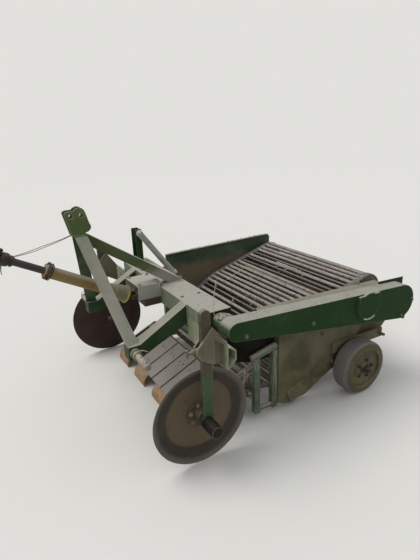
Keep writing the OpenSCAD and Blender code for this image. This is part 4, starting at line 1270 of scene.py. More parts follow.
@dataclass
class SievingWeb:
    """The web: two ribbed belts and the round bars between them, with soil on many of the bars."""

    rollers: tuple[Point, ...] = (
        (-0.490, 0.237, 0.060),
        (-0.950, 0.520, 0.045),
        (-1.560, 0.650, 0.098),
        (-0.960, 0.150, 0.045),
    )
    half_width: float = 0.606
    belt_width: float = 0.050
    belt_thick: float = 0.013
    bar_radius: float = 0.0064
    caked_radius: float = 0.0078
    # The lower run's thick dark bars are damp soil and painted shade under the machine.
    lower_radius: float = 0.0105
    buried_shaded_radius: float = 0.0200
    caked_share: float = 0.72
    below: float = -0.2
    pitch: float = 0.048
    rib_pitch: float = 0.016
    rib: tuple[Flat, ...] = ((-0.0045, -0.002), (0.0045, -0.002), (0.0028, 0.0032), (-0.0028, 0.0032))
    rib_inset: float = 0.003
    rivet_insets: Flat = (0.014, 0.034)
    rivet_size: float = 0.009

    def run(self, grow: float) -> list[Flat]:
        """Follows the loop round the rollers.

        Args:
            grow: The distance outside the rollers.

        Returns:
            Closely spaced points of x and z.
        """

        def normal(a: Point, b: Point) -> float:
            """Returns the angle at which the run from one roller to the next faces outwards."""
            gap = math.hypot(b[0] - a[0], b[1] - a[1])
            return math.atan2(b[1] - a[1], b[0] - a[0]) - math.acos((a[2] - b[2]) / gap)

        points: list[Flat] = []
        for i, roller in enumerate(self.rollers):
            x, z, radius = roller
            start = normal(self.rollers[i - 1], roller)
            arc = (normal(roller, self.rollers[(i + 1) % len(self.rollers)]) - start) % (2 * math.pi)
            steps = max(2, round(arc / 0.12))
            for k in range(steps + 1):
                angle = start + arc * k / steps
                reach = radius + grow
                points.append((x + reach * math.cos(angle), z + reach * math.sin(angle)))
        return points

    @staticmethod
    def spaced(loop: Sequence[Flat], pitch: float) -> list[Point]:
        """Spreads points evenly round a loop.

        Args:
            loop: The loop's points of x and z.
            pitch: About how far apart the new points are.

        Returns:
            The x, the z and the angle of the outward normal of each point.
        """
        ends = [Vector((x, z, 0.0)) for x, z in loop]
        lengths = [(ends[(i + 1) % len(ends)] - ends[i]).length for i in range(len(ends))]
        total = sum(lengths)
        count = round(total / pitch)
        found: list[Point] = []
        for k in range(count):
            left = total * (k + 0.5) / count
            i = 0
            while left > lengths[i]:
                left -= lengths[i]
                i += 1
            along = (ends[(i + 1) % len(ends)] - ends[i]).normalized()
            here = ends[i] + along * left
            found.append((here.x, here.y, math.atan2(-along.x, along.y)))
        return found

    def bar_tree(self) -> Recipe:
        """Builds the tree that sets a bar across the web at each point, some of them ribbed by caked soil.

        Returns:
            The tree.
        """
        recipe = Recipe("Web bars", {"Radius": self.bar_radius, "Half": 0.56, "Cake": 0.0, "Seed": 4})
        half = recipe.taken("Half")
        ends = {"Start": recipe.vector(y=recipe.math("MULTIPLY", half, -1.0)), "End": recipe.vector(y=half)}
        line = recipe.node("GeometryNodeCurvePrimitiveLine", ends, mode="POINTS").outputs[0]
        ripple = recipe.math("ADD", recipe.odd(), recipe.chance(0.0, 0.35, 11))
        scale = recipe.math("ADD", 1.0, recipe.math("MULTIPLY", ripple, recipe.taken("Cake")))
        bar = recipe.swept(recipe.stepped(line, 0.0065), recipe.circle(8, recipe.taken("Radius")), scale)
        tilt = recipe.chances((-0.006, -0.05, -0.006), (0.006, 0.05, 0.006))
        recipe.scatter(bar, recipe.turned(tilt))
        return recipe

    def belts(self) -> bpy.types.Mesh:
        """Makes both belts with a rib across each at an even pitch.

        Returns:
            Their mesh.
        """
        shape = Shape()
        inner, outer = self.run(0.0), self.run(self.belt_thick)
        ribs = self.spaced(outer, self.rib_pitch)
        for low_y in (-self.half_width, self.half_width - self.belt_width):
            high_y = low_y + self.belt_width
            corners = ((inner, low_y), (outer, low_y), (outer, high_y), (inner, high_y))
            rings = [shape.ring((x, y, z) for x, z in loop) for loop, y in corners]
            for low, high in zip(rings, rings[1:] + rings[:1]):
                shape.join(low, high)
            shift = low_y + self.rib_inset
            for x, z, angle in ribs:
                out = Vector((math.cos(angle), 0.0, math.sin(angle)))
                along = Vector((-math.sin(angle), 0.0, math.cos(angle)))
                base = Vector((x, 0.0, z))
                shape.plate(
                    self.rib,
                    lambda a, b, y: tuple(base + along * a + out * b + Vector((0.0, shift + y, 0.0))),
                    self.belt_width - 2 * self.rib_inset,
                )
        return shape.mesh(smooth=30.0)

    def states(self, bars: Sequence[Point]) -> tuple[list[Point], ...]:
        """Sorts the bars by the soil on them, and puts the lower run's bars, dark with soil and painted
        shade, apart.

        Args:
            bars: The x, the z and the angle of the outward normal of each bar.

        Returns:
            The places of the plain bars, the caked ones, the lower ones and the buried ones, the last two
            dark with soil and painted shade.
        """
        dice = random.Random(5)
        plain: list[Point] = []
        caked: list[Point] = []
        lower: list[Point] = []
        buried_shaded: list[Point] = []
        for x, z, angle in bars:
            if math.sin(angle) < self.below:
                state = buried_shaded if math.cos(angle) < self.below else lower
            else:
                state = caked if dice.random() < self.caked_share else plain
            state.append((x, 0.0, z))
        return plain, caked, lower, buried_shaded

    def rivets(self, bars: Sequence[Point]) -> list[Spot]:
        """Finds the fixings of the bars on the belts.

        Args:
            bars: The x, the z and the angle of the outward normal of each bar.

        Returns:
            The rivets.
        """
        found: list[Spot] = []
        reach = self.belt_thick / 2 + 0.001
        for x, z, angle in bars:
            out = (math.cos(angle), 0.0, math.sin(angle))
            for side in (-1, 1):
                for inset in self.rivet_insets:
                    place = (x + out[0] * reach, side * (self.half_width - inset), z + out[2] * reach)
                    found.append(Spot(place, out, self.rivet_size))
        return found

    def build(self, bench: Bench) -> None:
        """Makes the bars, the belts and the fixings of the bars.

        Args:
            bench: Where the pieces are made.
        """
        bars = self.spaced(self.run(self.belt_thick / 2), self.pitch)
        plain, caked, lower, buried_shaded = self.states(bars)
        recipe = self.bar_tree()
        half = self.half_width - self.belt_width / 2
        # name, places, radius, cake, finish, replaced nodes
        states = (
            ("web_bars", plain, self.bar_radius, 0.10, BAR_STEEL, ("web",)),
            ("web_bars_caked", caked, self.caked_radius, 0.62, CAKED_BAR, ()),
            ("web_bars_lower", lower, self.lower_radius, 0.30, SOIL_AND_SHADE_BAR, ()),
            ("web_bars_buried_shaded", buried_shaded, self.buried_shaded_radius, 0.16, SOIL_AND_SHADE_BAR, ()),
        )
        for name, places, radius, cake, finish, replaced in states:
            mesh = recipe.bake(mesh_of(places), bench.material(finish), Half=half, Cake=cake, Radius=radius)
            bench.piece(name, soften(mesh, 24.0), finish, Slot.STEEL, Body.CHASSIS, replaced)
        bench.piece("web_belts", self.belts(), BELT, Slot.STEEL)
        bench.bolts("web_rivets", self.rivets(bars), STEEL, Slot.STEEL, Head=0.3, Stud=0.0)


@dataclass
class DiscCoulter:
    """A dished disc with its bolted flange, and the stepped sleeve over its axle boss."""

    side: Side
    radius: float = 0.300
    height: float = 0.300
    flat_radius: float = 0.175
    flat_y: float = 0.792
    dish: float = 0.044
    thick: float = 0.006
    axle_radius: float = 0.0176
    steps: int = 10
    flange_face_y: float = 0.810
    bolt_circle: float = 0.060
    bolt_size: float = 0.015
    cap_y: float = 1.007
    sleeve_y: float = 0.895
    sleeve_step: float = 0.064

    def mesh(self) -> bpy.types.Mesh:
        """Makes the disc: a flat middle that curves into the dish, with a thin nicked edge.

        Returns:
            Its mesh.
        """
        outer: list[Flat] = []
        inner: list[Flat] = []
        for k in range(self.steps + 1):
            share = k / self.steps
            radius = self.flat_radius + (self.radius - self.flat_radius) * share
            rise = (self.dish - self.thick) * (0.35 * share + 0.65 * share * share)
            thin = self.thick * (1.0 - 0.55 * share)
            inner.append((radius, rise + self.thick - thin))
            outer.append((radius, rise + self.thick))
        profile = [(self.axle_radius, 0.0), *inner, *reversed(outer), (self.axle_radius, self.thick)]
        shape = Shape()
        shape.lathe(profile, self.side.flip((0.0, self.flat_y, self.height)), self.side.outward, 128)
        mesh = shape.mesh(smooth=30.0)
        for vertex in mesh.vertices:
            self.nick(vertex)
        return mesh

    def nick(self, vertex: bpy.types.MeshVertex) -> None:
        """Moves a point of the disc's edge inwards, by more in some places than in others.

        Args:
            vertex: The point.
        """
        along, up = vertex.co.x, vertex.co.z - self.height
        if math.hypot(along, up) > self.radius - 0.006:
            turn = math.atan2(up, along)
            depth = noise.noise(Vector((math.cos(turn) * 9.0, math.sin(turn) * 9.0, self.side.value)))
            share = 1.0 - 0.004 * max(0.0, depth) - 0.0012
            vertex.co.x *= share
            vertex.co.z = self.height + up * share

    def boss(self) -> bpy.types.Mesh:
        """Makes the stepped sleeve over the axle boss, with its end cap.

        Returns:
            Its mesh.
        """
        reach = self.cap_y - self.sleeve_y
        outline = [
            (0.0342, 0.0), (0.0374, 0.002), (0.0374, self.sleeve_step),
            (0.0360, self.sleeve_step + 0.003), (0.0360, reach - 0.006), (0.0342, reach - 0.001),
            (0.0290, reach + 0.001), (0.0, reach + 0.001), (0.0, reach - 0.003),
            (0.0330, reach - 0.003),
        ]
        return lathed(outline, self.side.flip((0.0, self.sleeve_y, self.height)), self.side.outward, 56)

    def build(self, bench: Bench) -> None:
        """Makes the disc, its flange bolts and the sleeve of its boss.

        Args:
            bench: Where the pieces are made.
        """
        word = self.side.word
        body = Body[f"DISC_{self.side.name}"]
        finish = DISC if self.side is Side.LEFT else FAR_DISC
        bench.piece(f"disc_blade_{word}", self.mesh(), finish, Slot.IRON, body, (f"disc_{word}",))
        places: list[Point] = []
        for k in range(6):
            turn = math.radians(20 + 60 * k)
            along, up = self.bolt_circle * math.cos(turn), self.bolt_circle * math.sin(turn)
            places.append((along, self.flange_face_y, self.height + up))
        spots = self.side.spots(places, self.bolt_size)
        bench.bolts(f"flange_bolts_{word}", spots, CLAMP, Slot.IRON, body, Head=0.45)
        bench.piece(f"boss_sleeve_{word}", self.boss(), BOSS_BLACK, Slot.IRON)


@dataclass
class RearWheel:
    """A wheel: a worn rubber band on a flat steel disc with a bolted hub."""

    side: Side
    radius: float = 0.194
    axle_x: float = -1.289
    inner_y: float = 0.736
    width: float = 0.127
    rubber: float = 0.046
    corner: float = 0.022
    disc_y: float = 0.849
    hub_radius: float = 0.038
    flange_radius: float = 0.086
    bolt_circle: float = 0.066
    bolt_size: float = 0.022
    nut_size: float = 0.036

    def middle(self, y: float) -> Vector:
        """Returns the axle's place at a distance from the machine's middle."""
        return self.side.flip((self.axle_x, y, self.radius))

    def tyre(self) -> bpy.types.Mesh:
        """Makes the rubber band with its rounded shoulders.

        Returns:
            Its mesh.
        """
        inside = self.radius - self.rubber
        flat, far = self.radius - self.corner, self.width - self.corner
        corner = self.corner
        quarter = [math.radians(90 * k / 5) for k in range(6)]
        near_side = [(flat + corner * math.sin(t), corner - corner * math.cos(t)) for t in quarter]
        far_side = [(flat + corner * math.cos(t), far + corner * math.sin(t)) for t in quarter]
        profile = [(inside, 0.0), *near_side, *far_side, (inside, self.width)]
        return lathed(profile, self.middle(self.inner_y), self.side.outward, 96, smooth=50.0)

    def build(self, bench: Bench) -> None:
        """Makes the tyre, the hub bolts, the rim's lip, the hub's flange and the nut on the axle.

        Args:
            bench: Where the pieces are made.
        """
        word = self.side.word
        body = Body[f"WHEEL_{self.side.name}"]
        bench.piece(f"rubber_band_{word}", self.tyre(), RUBBER, Slot.RUBBER, body, (f"tyre_{word}",))
        places: list[Point] = []
        for k in range(5):
            turn = math.radians(30 + 72 * k)
            along, up = self.bolt_circle * math.cos(turn), self.bolt_circle * math.sin(turn)
            places.append((self.axle_x + along, self.disc_y, self.radius + up))
        spots = self.side.spots(places, self.bolt_size)
        bench.bolts(f"hub_bolts_{word}", spots, DARK_IRON, Slot.OLIVE, body)
        seat = self.radius - self.rubber
        outline = [
            (seat - 0.009, 0.0), (seat - 0.0005, 0.0), (seat + 0.004, 0.003), (seat + 0.004, 0.007),
            (seat - 0.009, 0.005),
        ]
        rim = self.middle(self.inner_y + self.width - 0.003)
        lip = lathed(outline, rim, self.side.outward, 72, 0.0006)
        bench.piece(f"rim_lip_{word}", lip, OLIVE, Slot.OLIVE, body)
        outline = [
            (self.hub_radius, 0.0), (self.flange_radius, 0.0), (self.flange_radius, 0.006),
            (self.flange_radius - 0.006, 0.009), (self.hub_radius, 0.010),
        ]
        flange = lathed(outline, self.middle(self.disc_y - 0.003), self.side.outward, 48, 0.0006)
        bench.piece(f"hub_flange_{word}", flange, OLIVE, Slot.OLIVE, body)
        place = (self.axle_x, self.inner_y + self.width + 0.012, self.radius)
        nut = self.side.spots([place], self.nut_size)
        bench.bolts(f"wheel_nut_{word}", nut, DARK_IRON, Slot.OLIVE)


@dataclass
class Driveline:
    """The ribbed cone, the chain wound on the guard, the twine and the yokes."""

    joint_x: float = 0.050
    joint_z: float = 0.770
    tilt: float = math.radians(28.2)
    guard_radius: float = 0.0375
    guard_end: float = 0.598
    cone_from: float = 0.046
    cone_length: float = 0.128
    cone_radius: float = 0.058
    cone_ribs: int = 5
    rib_pitch: float = 0.017
    bore: float = 0.0222
    slide_end: float = 0.800
    yoke_cross: float = 0.862
    yoke_end: float = 0.972
    yoke_radius: float = 0.030
    link_radius: float = 0.0070
    link_pitch: float = 0.0172
    chain_turns: float = 2.9
    loop_at: float = 0.786
    mast_knot: Vector = field(default_factory=lambda: Vector((0.372, -0.036, 1.240)))

    @property
    def axis(self) -> Vector:
        """The direction of the driveline."""
        return Vector((math.cos(self.tilt), 0.0, math.sin(self.tilt)))

    def at(self, along: float, across: float = 0.0, up: float = 0.0) -> Vector:
        """Finds a point counted from the joint.

        Args:
            along: How far along the driveline it is.
            across: How far to the left.
            up: How far square to both.

        Returns:
            The point.
        """
        over = Vector((-math.sin(self.tilt), 0.0, math.cos(self.tilt)))
        joint = Vector((self.joint_x, 0.0, self.joint_z))
        return joint + self.axis * along + Vector((0.0, across, 0.0)) + over * up

    def cone(self) -> bpy.types.Mesh:
        """Makes the flared cone with its ribs.

        Returns:
            Its mesh.
        """
        ribs: list[Flat] = []
        for k in range(self.cone_ribs):
            start = 0.006 + k * self.rib_pitch
            radius = self.cone_radius - 0.0015 * k - 0.0015
            ribs += [(radius - 0.004, start), (radius, start + 0.003)]
            ribs += [(radius, start + 0.008), (radius - 0.004, start + 0.011)]
        profile = [
            (self.cone_radius - 0.008, 0.0), (self.cone_radius, 0.0), *ribs,
            (self.guard_radius + 0.006, 0.100), (self.guard_radius + 0.0045, 0.104),
            (self.guard_radius + 0.0045, self.cone_length),
            (self.guard_radius + 0.0002, self.cone_length), (self.guard_radius + 0.0002, 0.108),
            (self.cone_radius - 0.012, 0.080), (self.cone_radius - 0.008, 0.010),
        ]
        return lathed(profile, self.at(self.cone_from), self.axis, 72, smooth=32.0)

    def lip(self) -> bpy.types.Mesh:
        """Makes the cone's bright lip.

        Returns:
            Its mesh.
        """
        rim = self.cone_radius
        profile = [(rim - 0.002, -0.002), (rim + 0.002, -0.002), (rim + 0.003, 0.004), (rim + 0.001, 0.011)]
        return lathed([*profile, (rim - 0.002, 0.011)], self.at(self.cone_from), self.axis, 72)

    def collar(self) -> bpy.types.Mesh:
        """Makes the collar at the guard's end.

        Returns:
            Its mesh.
        """
        profile = [
            (self.guard_radius, -0.012), (0.0405, -0.010), (0.0405, 0.0), (0.036, 0.002),
            (0.0228, 0.002), (0.0228, -0.012),
        ]
        return lathed(profile, self.at(self.guard_end), self.axis, 56, 0.0005)

    def chain(self) -> Recipe:
        """Builds the tree that sets a chain link on each point, every other one turned on its side.

        Returns:
            The tree.
        """
        recipe = Recipe("Chain links", {"Wire": 0.0021})
        round_link = {0: recipe.circle(14, self.link_radius), "Scale": (1.55, 0.92, 1.0)}
        long_link = recipe.node("GeometryNodeTransform", round_link).outputs[0]
        link = recipe.swept(long_link, recipe.circle(6, recipe.taken("Wire")), capped=False)
        quarter = recipe.math("MULTIPLY", recipe.odd(), math.pi / 2)
        roll = recipe.turned(recipe.vector(recipe.math("ADD", quarter, 0.4)))
        recipe.scatter(link, recipe.twisted(recipe.facing("X"), roll))
        return recipe

    def chain_points(self) -> bpy.types.Mesh:
        """Places the links in loose turns round the guard's end.

        Returns:
            Their places, each with its direction.
        """
        points: list[Vector] = []
        whole = 2 * math.pi * self.chain_turns
        turn = 0.6
        while turn < whole:
            along = self.guard_end - 0.040 + 0.036 * (turn / whole) + 0.004 * math.sin(turn * 1.7)
            loose = self.guard_radius + 0.0078 + 0.003 * (1.0 + math.sin(turn * 0.9 + 1.0))
            points.append(self.at(along, loose * math.cos(turn), loose * math.sin(turn)))
            turn += self.link_pitch / loose
        source = mesh_of(points)
        last = len(points) - 1
        ways = [(points[min(i + 1, last)] - points[max(i - 1, 0)]).normalized() for i in range(len(points))]
        mark(source, "facing", ways)
        return source

    def strands(self) -> tuple[Shape, Shape, Vector]:
        """Makes the twine's two strands from the mast's head to the inner tube, in two halves.

        Returns:
            The upper half with its knot, the lower half, and the place where they meet.
        """
        upper, lower = Shape(), Shape()
        halfway = Vector()
        for k, (lift, sag) in enumerate(((0.020, 0.006), (-0.006, 0.014))):
            end = self.at(self.loop_at, 0.008 - 0.016 * k, 0.028 + lift * 0.4)
            path: list[Vector] = []
            for i in range(25):
                share = i / 24
                wave = Vector((0.0, 0.004 * math.sin(share * 9.0 + k), 0.0))
                point = self.mast_knot.lerp(end, share) + wave
                point.z -= sag * 4 * share * (1 - share)
                path.append(point)
            upper.tube(path[:13], 0.0019, 6)
            lower.tube(path[12:], 0.0019, 6)
            halfway += path[12] / 2
        knot: list[Vector] = []
        for t in turns(20):
            wave = Vector((0.006 * math.cos(t), 0.010 * math.sin(t), 0.005 * math.cos(t * 2)))
            knot.append(self.mast_knot + wave)
        upper.tube(knot, 0.0024, 6, closed=True)
        return upper, lower, halfway

    def loops(self) -> bpy.types.Mesh:
        """Makes the twine's turns round the inner tube.

        Returns:
            Their mesh.
        """
        shape = Shape()
        for k in range(3):
            along = self.loop_at - 0.004 + 0.0045 * k
            path: list[Vector] = []
            for t in turns(28):
                reach = 0.0245 + 0.0008 * math.sin(t * 5 + k)
                path.append(self.at(along, reach * math.cos(t), reach * math.sin(t)))
            shape.tube(path, 0.0021, 6, closed=True)
        return shape.mesh(smooth=60.0)

    def fittings(self) -> bpy.types.Mesh:
        """Makes the bearing caps of the front yoke, its rings and its release knob.

        Returns:
            Their mesh.
        """
        shape = Shape()
        cap = [(0.0, -0.002), (0.0105, -0.002), (0.0105, 0.003), (0.008, 0.005), (0.0, 0.005)]
        for across, up in ((1, 0), (-1, 0), (0, 1), (0, -1)):
            centre = self.at(self.yoke_cross, across * self.yoke_radius, up * self.yoke_radius)
            way = self.at(0.0, float(across), float(up)) - self.at(0.0)
            shape.lathe(cap, centre, way, 24)
        yoke, bore = self.yoke_radius, self.bore
        mouth = [(yoke, -0.006), (yoke + 0.005, -0.005), (yoke + 0.006, 0.006), (yoke + 0.003, 0.016)]
        sleeve = [(bore, 0.0), (0.033, 0.001), (0.034, 0.012), (0.031, 0.016), (bore, 0.016)]
        hub = [(bore, 0.0), (0.036, 0.004), (0.041, 0.020), (0.038, 0.044), (0.028, 0.050), (bore, 0.050)]
        shape.lathe([*mouth, (yoke, 0.017)], self.at(self.yoke_end - 0.030), self.axis, 40)
        shape.lathe(sleeve, self.at(self.slide_end - 0.014), self.axis, 40)
        shape.lathe(hub, self.at(self.slide_end + 0.004), self.axis, 40)
        knob = [(0.0, -0.004), (0.021, -0.002), (0.024, 0.006), (0.019, 0.014), (0.0, 0.017)]
        seat = self.at(self.yoke_cross + 0.012, 0.004, self.yoke_radius + 0.010)
        shape.lathe(knob, seat, self.at(0.0, 0.0, 1.0) - self.at(0.0), 28)
        return shape.mesh(0.0005)

    def hook(self) -> bpy.types.Mesh:
        """Makes the bent tail that hangs from the yoke.

        Returns:
            Its mesh.
        """
        start = self.at(self.yoke_cross - 0.02, 0.012, -0.030)
        drops = ((0.002, 0.001, -0.020), (0.006, 0.0, -0.044), (0.004, -0.002, -0.066))
        shape = Shape()
        path = [start, *(start + Vector(drop) for drop in drops)]
        shape.tube(path, lambda share: 0.0058 * (1 - 0.65 * share), 8, flat=0.6)
        return shape.mesh(smooth=50.0)

    def twine(self, bench: Bench) -> None:
        """Makes the strands and the turns round the inner tube.

        Args:
            bench: Where the pieces are made.
        """
        upper, lower, halfway = self.strands()
        # name, shape, bodies, ends
        halves = (
            ("twine_upper", upper, (Body.CHASSIS, Body.DRIVELINE), (self.mast_knot, halfway)),
            ("twine_lower", lower, (Body.DRIVELINE, Body.SLIDE), (halfway, self.at(self.loop_at))),
        )
        for name, shape, bodies, ends in halves:
            bench.strand(name, shape.mesh(smooth=60.0), TWINE)
        bench.piece("twine_loops", self.loops(), TWINE, Slot.IRON, Body.SLIDE)

    def build(self, bench: Bench) -> None:
        """Makes all pieces of the driveline.

        Args:
            bench: Where the pieces are made.
        """
        guard = Body.DRIVELINE
        bench.piece("ribbed_cone", self.cone(), CONE_GREY, Slot.PLASTIC, guard, ("guard_cone",))
        bench.piece("cone_lip", self.lip(), CONE_YELLOW, Slot.PLASTIC, guard)
        links = self.chain().bake(self.chain_points(), bench.material(DARK_IRON))
        bench.piece("guard_chain", soften(links, 60.0), DARK_IRON, Slot.STEEL, guard)
        bench.piece("guard_collar", self.collar(), GUARD_YELLOW, Slot.PLASTIC, guard)
        bench.piece("yoke_fittings", self.fittings(), DARK_IRON, Slot.IRON, Body.SLIDE)
        bench.piece("yoke_hook", self.hook(), DARK_IRON, Slot.IRON, Body.SLIDE)
        self.twine(bench)


@dataclass
class Mast:
    """The rings round the mast head's link holes, and the weld beads of the frame's joints."""

    plate_y: float = 0.038
    hole_x: float = 0.357
    hole_apart: float = 0.063
    hole_z: float = 1.360
    leg_top: Flat = (0.345, 1.238)
    beam_front_x: float = -0.130
    beam_top_z: float = 0.820
    arm_y: Flat = (0.380, 0.460)
    stay_x: Flat = (-0.318, -0.260)
    stay_y: float = 0.033
    bead_radius: float = 0.0042

    def rings(self) -> bpy.types.Mesh:
        """Makes the worn rings round the two holes, on both outer faces.

        Returns:
            Their mesh.
        """
        outline = [(0.0148, -0.001), (0.0148, 0.002), (0.0190, 0.0022), (0.0205, 0.0), (0.0205, -0.001)]
        shape = Shape()
        for side in Side:
            for along in (-0.5, 0.5):
                centre = side.flip((self.hole_x + along * self.hole_apart, self.plate_y, self.hole_z))
                shape.lathe(outline, centre, side.outward, 36)
        return shape.mesh()

    def build(self, bench: Bench) -> None:
        """Makes the rings and the beads.

        Args:
            bench: Where the pieces are made.
        """
        bench.piece("link_hole_rings", self.rings(), LEAF, Slot.STEEL)
        paths: list[list[Point]] = []
        for side in Side:
            out = self.plate_y * side.value
            x, z = self.leg_top
            paths.append([(x - 0.045, out, z + 0.004), (x, out, z - 0.004), (x + 0.040, out, z + 0.004)])
            for y in self.arm_y:
                paths.append([(self.beam_front_x + 0.001, y * side.value, z) for z in (0.712, 0.760, 0.812)])
        for y in (-self.stay_y, self.stay_y):
            paths.append([(x, y, self.beam_top_z) for x in self.stay_x])
        bench.welds("frame_welds", paths, STAY_GREEN, Slot.GREEN, self.bead_radius)


@dataclass
class HitchFittings:
    """What hangs on a lower hitch pin: a collar ring with a bent tail, and the ring of the lynch pin."""

    side: Side
    pin: Flat = (0.225, 0.598)
    collar_y: float = 0.502
    cross_y: float = 0.632
    pin_radius: float = 0.0185
    ring_radius: float = 0.019

    def build(self, bench: Bench) -> None:
        """Makes the rings.

        Args:
            bench: Where the pieces are made.
        """
        x, z = self.pin
        reach, ring = self.pin_radius + 0.0052, self.ring_radius
        collar = [(x + reach * math.cos(t), self.collar_y, z + reach * math.sin(t)) for t in turns(32)]
        tail = [
            (x + 0.006, self.collar_y, z + 0.022), (x - 0.010, self.collar_y + 0.002, z + 0.031),
            (x - 0.034, self.collar_y + 0.006, z + 0.028),
            (x - 0.060, self.collar_y + 0.010, z + 0.014),
        ]
        pin = [(x, self.cross_y, z + up) for up in (-0.034, 0.030)]
        loop: list[Point] = []
        for t in turns(32):
            y = self.cross_y + 0.006 * math.sin(t)
            loop.append((x + ring * math.cos(t), y, z + 0.026 + ring * math.sin(t)))
        # path, radius, faces round, whether it is closed
        bars = (
            (collar, 0.0055, 10, True),
            (tail, 0.0042, 8, False),
            (pin, 0.0045, 12, False),
            (loop, 0.0020, 8, True),
        )
        shape = Shape()
        for path, radius, sides, closed in bars:
            shape.tube([self.side.flip(point) for point in path], radius, sides, closed)
        name = f"hitch_rings_{self.side.word}"
        bench.piece(name, shape.mesh(smooth=50.0), PALE_STEEL, Slot.STEEL)


@dataclass
class ClampScrew:
    """The clamp screw's locking nut and turning bar, with the clamp's beads."""

    side: Side
    y: float = 0.8805
    z: float = 0.742
    nut_x: float = 0.0465
    nut_size: float = 0.026
    bar_x: float = 0.0935
    bar_half: float = 0.022
    bar_radius: float = 0.0068
    seam_x: float = 0.014
    seam_y: Flat = (0.9055, 0.8555)
    seam_z: Flat = (0.731, 0.753)
    bead_radius: float = 0.0036

    def build(self, bench: Bench) -> None:
        """Makes the nut, the bar and the beads.

        Args:
            bench: Where the pieces are made.
        """
        word = self.side.word
        nut = Spot(tuple(self.side.flip((self.nut_x, self.y, self.z))), (1.0, 0.0, 0.0), self.nut_size)
        bench.bolts(f"clamp_nut_{word}", [nut], CLAMP, Slot.IRON, Head=0.5, Stud=0.0)
        shape = Shape()
        ends = [self.side.flip((self.bar_x, self.y, self.z + up)) for up in (-self.bar_half, self.bar_half)]
        shape.tube(ends, self.bar_radius, 16)
        bench.piece(f"clamp_bar_{word}", shape.mesh(0.0012), CLAMP, Slot.IRON)
        seams = [[tuple(self.side.flip((self.seam_x, y, z))) for z in self.seam_z] for y in self.seam_y]
        bench.welds(f"clamp_welds_{word}", seams, CLAMP, Slot.IRON, self.bead_radius)


@dataclass
class SideFittings:
    """Bolts, nipples and the slanted skid on a side's lower casing."""

    side: Side
    face_y: float = 0.702
    skid_from: Flat = (-0.746, 0.040)
    skid_slope: float = math.radians(160)
    skid_length: float = 0.165
    skid_width: float = 0.090
    skid_thick: float = 0.014
    boss: Point = (-1.120, 0.702, 0.232)
    boss_size: float = 0.030
    bolts: tuple[Flat, ...] = ((-0.780, 0.560), (-0.780, 0.120), (-1.020, 0.470), (-1.300, 0.470))
    bolt_size: float = 0.020
    nipples: tuple[Point, ...] = ((-0.452, 0.650, 0.182), (-0.458, 0.650, 0.150))
    nipple_size: float = 0.013

    def skid(self) -> bpy.types.Mesh:
        """Makes the slanted bar with its turned-up edge.

        Returns:
            Its mesh.
        """
        x, z = self.skid_from
        cos, sin = math.cos(self.skid_slope), math.sin(self.skid_slope)

        def place(a: float, b: float, y: float) -> Point:
            """Puts two distances on the slant and a height at their place."""
            point = (x + a * cos + b * sin, self.face_y - 0.001 + y, z + a * sin - b * cos)
            return tuple(self.side.flip(point))

        long, wide = self.skid_length, self.skid_width
        bar = [(0.0, 0.0), (long, 0.0), (long, wide), (0.012, wide), (0.0, wide - 0.012)]
        edge = [(0.0, -0.004), (long, -0.004), (long, 0.006), (0.0, 0.006)]
        shape = Shape()
        shape.plate(bar, place, self.skid_thick)
        shape.plate(edge, place, self.skid_thick + 0.006)
        return shape.mesh(0.0015)

    def build(self, bench: Bench) -> None:
        """Makes the skid, the casing bolts and the grease nipples.

        Args:
            bench: Where the pieces are made.
        """
        word = self.side.word
        bench.piece(f"casing_skid_{word}", self.skid(), OLIVE, Slot.OLIVE)
        spots = self.side.spots([self.boss], self.boss_size)
        spots += self.side.spots([(x, self.face_y, z) for x, z in self.bolts], self.bolt_size)
        bench.bolts(f"casing_bolts_{word}", spots, OLIVE, Slot.OLIVE, Head=0.5, Stud=0.2)
        spots = self.side.spots(self.nipples, self.nipple_size)
        name = f"grease_nipples_{word}"
        bench.bolts(name, spots, PALE_STEEL, Slot.STEEL, Head=0.9, Stud=0.6)


@dataclass(frozen=True)
class Slats:
    """The share's slats: their front edge, their slope, and how many lie side by side."""

    front: Flat = (-0.035, 0.100)
    tilt: float = math.radians(24.7)
    count: int = 8
    pitch: float = 0.150

    @property
    def middles(self) -> list[float]:
        """The y of each slat's middle."""
        return [(k - (self.count - 1) / 2) * self.pitch for k in range(self.count)]

    @property
    def square(self) -> Point:
        """The direction square to the slats' top."""
        return (math.sin(self.tilt), 0.0, math.cos(self.tilt))

    def at(self, back: float, y: float) -> Point:
        """Returns a point on the slats' top, counted back from the front edge."""
        x, z = self.front
        return (x - back * math.cos(self.tilt), y, z + back * math.sin(self.tilt))


@dataclass
class Fasteners:
    """The bolts of the beam, the gearbox cover, the share's slats and the chain guard."""

    beam_top_z: float = 0.820
    cover_top_z: float = 0.850
    slats: Slats = Slats()
    slat_bolts: Flat = (-0.024, 0.024)
    slat_back: float = 0.232
    guard_face_y: float = 0.846
    guard: tuple[Flat, ...] = ((-0.300, 0.716), (-0.800, 0.662), (-1.640, 0.500), (-1.735, 0.610))

    def build(self, bench: Bench) -> None:
        """Makes the bolts.

        Args:
            bench: Where the pieces are made.
        """
        up = (0.0, 0.0, 1.0)
        beam = [Spot((x, y, self.beam_top_z), up, 0.012) for x in (-0.165, -0.285) for y in (-0.34, 0.33)]
        bench.bolts("beam_bolts", beam, IRON, Slot.STEEL, Head=0.35, Stud=0.0)
        cover = [Spot((x, y, self.cover_top_z), up, 0.015) for x in (-0.120, 0.012) for y in (-0.138, 0.058)]
        bench.bolts("cover_bolts", cover, PALE_STEEL, Slot.STEEL, Stud=0.3)
        slats: list[Spot] = []
        for y in self.slats.middles:
            places = [self.slats.at(self.slat_back, y + off) for off in self.slat_bolts]
            slats += [Spot(place, self.slats.square, 0.013) for place in places]
        bench.bolts("slat_bolts", slats, SLAT_STEEL, Slot.STEEL, Head=0.3, Stud=0.0)
        guard = Side.LEFT.spots([(x, self.guard_face_y, z) for x, z in self.guard], 0.017)
        bench.bolts("guard_bolts", guard, GUARD_GREEN, Slot.GREEN, Head=0.5, Stud=0.3)


